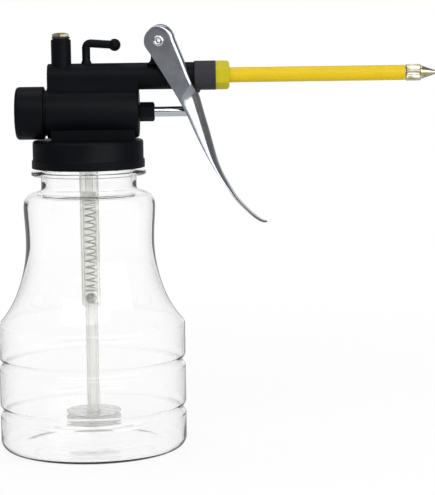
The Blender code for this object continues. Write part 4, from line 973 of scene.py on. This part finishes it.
spring_between("inlet_spring", "inlet_valve_spring", "z", 4.7, 0.55, 17)
spring_between("outlet_spring", "outlet_valve_spring", "z", 4.7, 0.4, 5)
spring_between("pump_spring", "return_spring", "x", 11.0, 1.0, 8)

# %% [markdown]
# ## Finishes on the CAD pieces
#
# The other pieces keep their CAD mesh. A weld joins the corners that the file format splits, and a
# small bevel rounds the edges, as on a real moulding.

# %% Dress the CAD pieces
def dress(node, material, bevel=0.0, sharp=35):
    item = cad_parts[node]
    item.data.materials.clear()
    item.data.materials.append(material)
    if "custom_normal" in item.data.attributes:
        item.data.attributes.remove(item.data.attributes["custom_normal"])
    item.data.shade_smooth()
    weld = item.modifiers.new("weld", "WELD")
    weld.merge_threshold = 0.002 * MM
    if bevel:
        round_edges(item, "soft_edges", bevel, 2, sharp)
    return item


finishes = {
    black_plastic: {"pump_head": 0.3, "rear_end_cap": 0.3, "gland_nut": 0.25},
    black_rubber: {n: 0.0 for n in ("neck_gasket", "end_cap_seal", "piston_seal", "rod_seal", "spout_seal")},
    bright_steel: {"piston_rod": 0.1},
    plain_steel: {"outlet_valve_ball": 0.0, "inlet_valve_ball": 0.0},
    plated_brass: {"valve_plug_screw": 0.2},
    milky_plastic: {"valve_tube": 0.1},
    pale_plastic: {"suction_tube": 0.1, "strainer_foot": 0.1},
    yellow_plastic: {"spout_tube": 0.15},
    white_acetal: {"piston": 0.2},
}
for material, nodes in finishes.items():
    for node, bevel in nodes.items():
        dress(node, material, bevel)
print("dressed", sum(len(nodes) for nodes in finishes.values()), "CAD pieces")

# %% [markdown]
# ## Floor, light and background
#
# The photograph has a white background. The floor is white, and part of its white is its own
# light, so that it stays white while a soft shadow remains. Far from the object nothing throws a
# shadow, so there the floor is all its own light, and it runs into the white world with no edge.
# Reflections see a darker room, as they do between the softboxes of a studio, and a white
# backdrop straight behind the object.

# %% Floor
look = finish("floor_white")
seen = look.node("LightPath", output="Is Camera Ray")
mirrored = look.node("LightPath", output="Is Glossy Ray")
through = look.node("LightPath", output="Is Transmission Ray")
direct = seen.math("MAXIMUM", seen, through)
distance = look.node("VectorMath", {"operation": "LENGTH"}, {0: look.coordinates()}, output="Value")
own_light = look.ramp(distance, (0.10, 0.84), (0.40, 1.0))
glow = look.node("Emission", {}, {"Color": colour(1, 1, 1), "Strength": direct + (1 - direct) * 0.5})
matt = look.node("BsdfDiffuse", {}, {"Color": colour(0.92, 0.92, 0.92)})
share = own_light * direct + (1 - direct) * mirrored * 0.8
mixed = look.node("MixShader", {}, {0: share, 1: matt, 2: glow})
look.node("OutputMaterial", {}, {"Surface": mixed})

bm = bmesh.new()
FLOOR_RADIUS, FLOOR_SIDES, FLOOR_DROP = 6000.0, 96, 0.02
rim = []
for k in range(FLOOR_SIDES):
    a = 2 * pi * k / FLOOR_SIDES
    rim.append(bm.verts.new((FLOOR_RADIUS * cos(a), FLOOR_RADIUS * sin(a), -FLOOR_DROP)))
bm.faces.new(rim)
floor_mesh = bpy.data.meshes.new("floor")
bm.to_mesh(floor_mesh)
bm.free()
floor_mesh.transform(Matrix.Scale(MM, 4))
floor_mesh.materials.append(look.owner)
floor = bpy.data.objects.new("floor", floor_mesh)
bpy.context.scene.collection.objects.link(floor)
floor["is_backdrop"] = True
print("floor", 2 * FLOOR_RADIUS * MM, "m across")

# %% [markdown]
# The world is white for the camera and through clear plastic. Mirror-like surfaces see the darker
# room instead, whose level grows towards the backdrop, and matt surfaces get an even soft light.

# %% World
world = bpy.data.worlds.new("studio")
bpy.context.scene.world = world
sky = Shader(world)
seen = sky.node("LightPath", output="Is Camera Ray")
through = sky.node("LightPath", output="Is Transmission Ray")
mirrored = sky.node("LightPath", output="Is Glossy Ray")
direct = seen.math("MAXIMUM", seen, through)
ahead = sky.node("SeparateXYZ", {}, {0: sky.node("TexCoord", output="Generated")}, output=1)
room = sky.ramp(0.5 + 0.5 * ahead, (0.0, 0.17), (0.5, 0.22), (0.955, 0.28), (0.985, 0.95))
level = direct + (1 - direct) * (mirrored * room + (1 - mirrored) * 0.42)
light = sky.node("Background", {}, {"Color": colour(1, 1, 1), "Strength": level})
sky.node("OutputWorld", {}, {"Surface": light})
print("world ready")

# %% [markdown]
# Three softboxes light the object: the key from above the camera, the wide one from the front
# right, and the top one from above and a little behind.

# %% Lamps
def softbox(name, place, aim, width, height, power):
    """A rectangular lamp at a place, aimed at a point, with its sides in metres and its watts."""
    data = bpy.data.lights.new(name, "AREA")
    data.shape, data.size, data.size_y, data.energy = "RECTANGLE", width, height, power
    lamp = bpy.data.objects.new(name, data)
    lamp.location = place
    lamp.rotation_mode = "QUATERNION"
    lamp.rotation_quaternion = (Vector(aim) - Vector(place)).to_track_quat("-Z", "Y")
    bpy.context.scene.collection.objects.link(lamp)


softbox("key", (-0.10, -0.75, 0.85), (0.04, 0, 0.12), 1.2, 0.5, 3.8)
softbox("wide", (0.56, -0.68, 0.43), (0.045, 0, 0.13), 1.0, 0.55, 5.4)
softbox("top", (0.05, 0.15, 0.90), (0.05, 0, 0.15), 0.8, 0.4, 2.0)
print("lamps ready")

# %% [markdown]
# ## The size of the dressed model
#
# The dressed model has to fill the same box as the CAD part, so the growth of its box is printed.

# %% Size
dressed_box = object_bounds()
sides = zip(cad_box[1] - cad_box[0], dressed_box[1] - dressed_box[0])
print("box grows by", [round((b - a) / MM, 2) for a, b in sides], "mm")
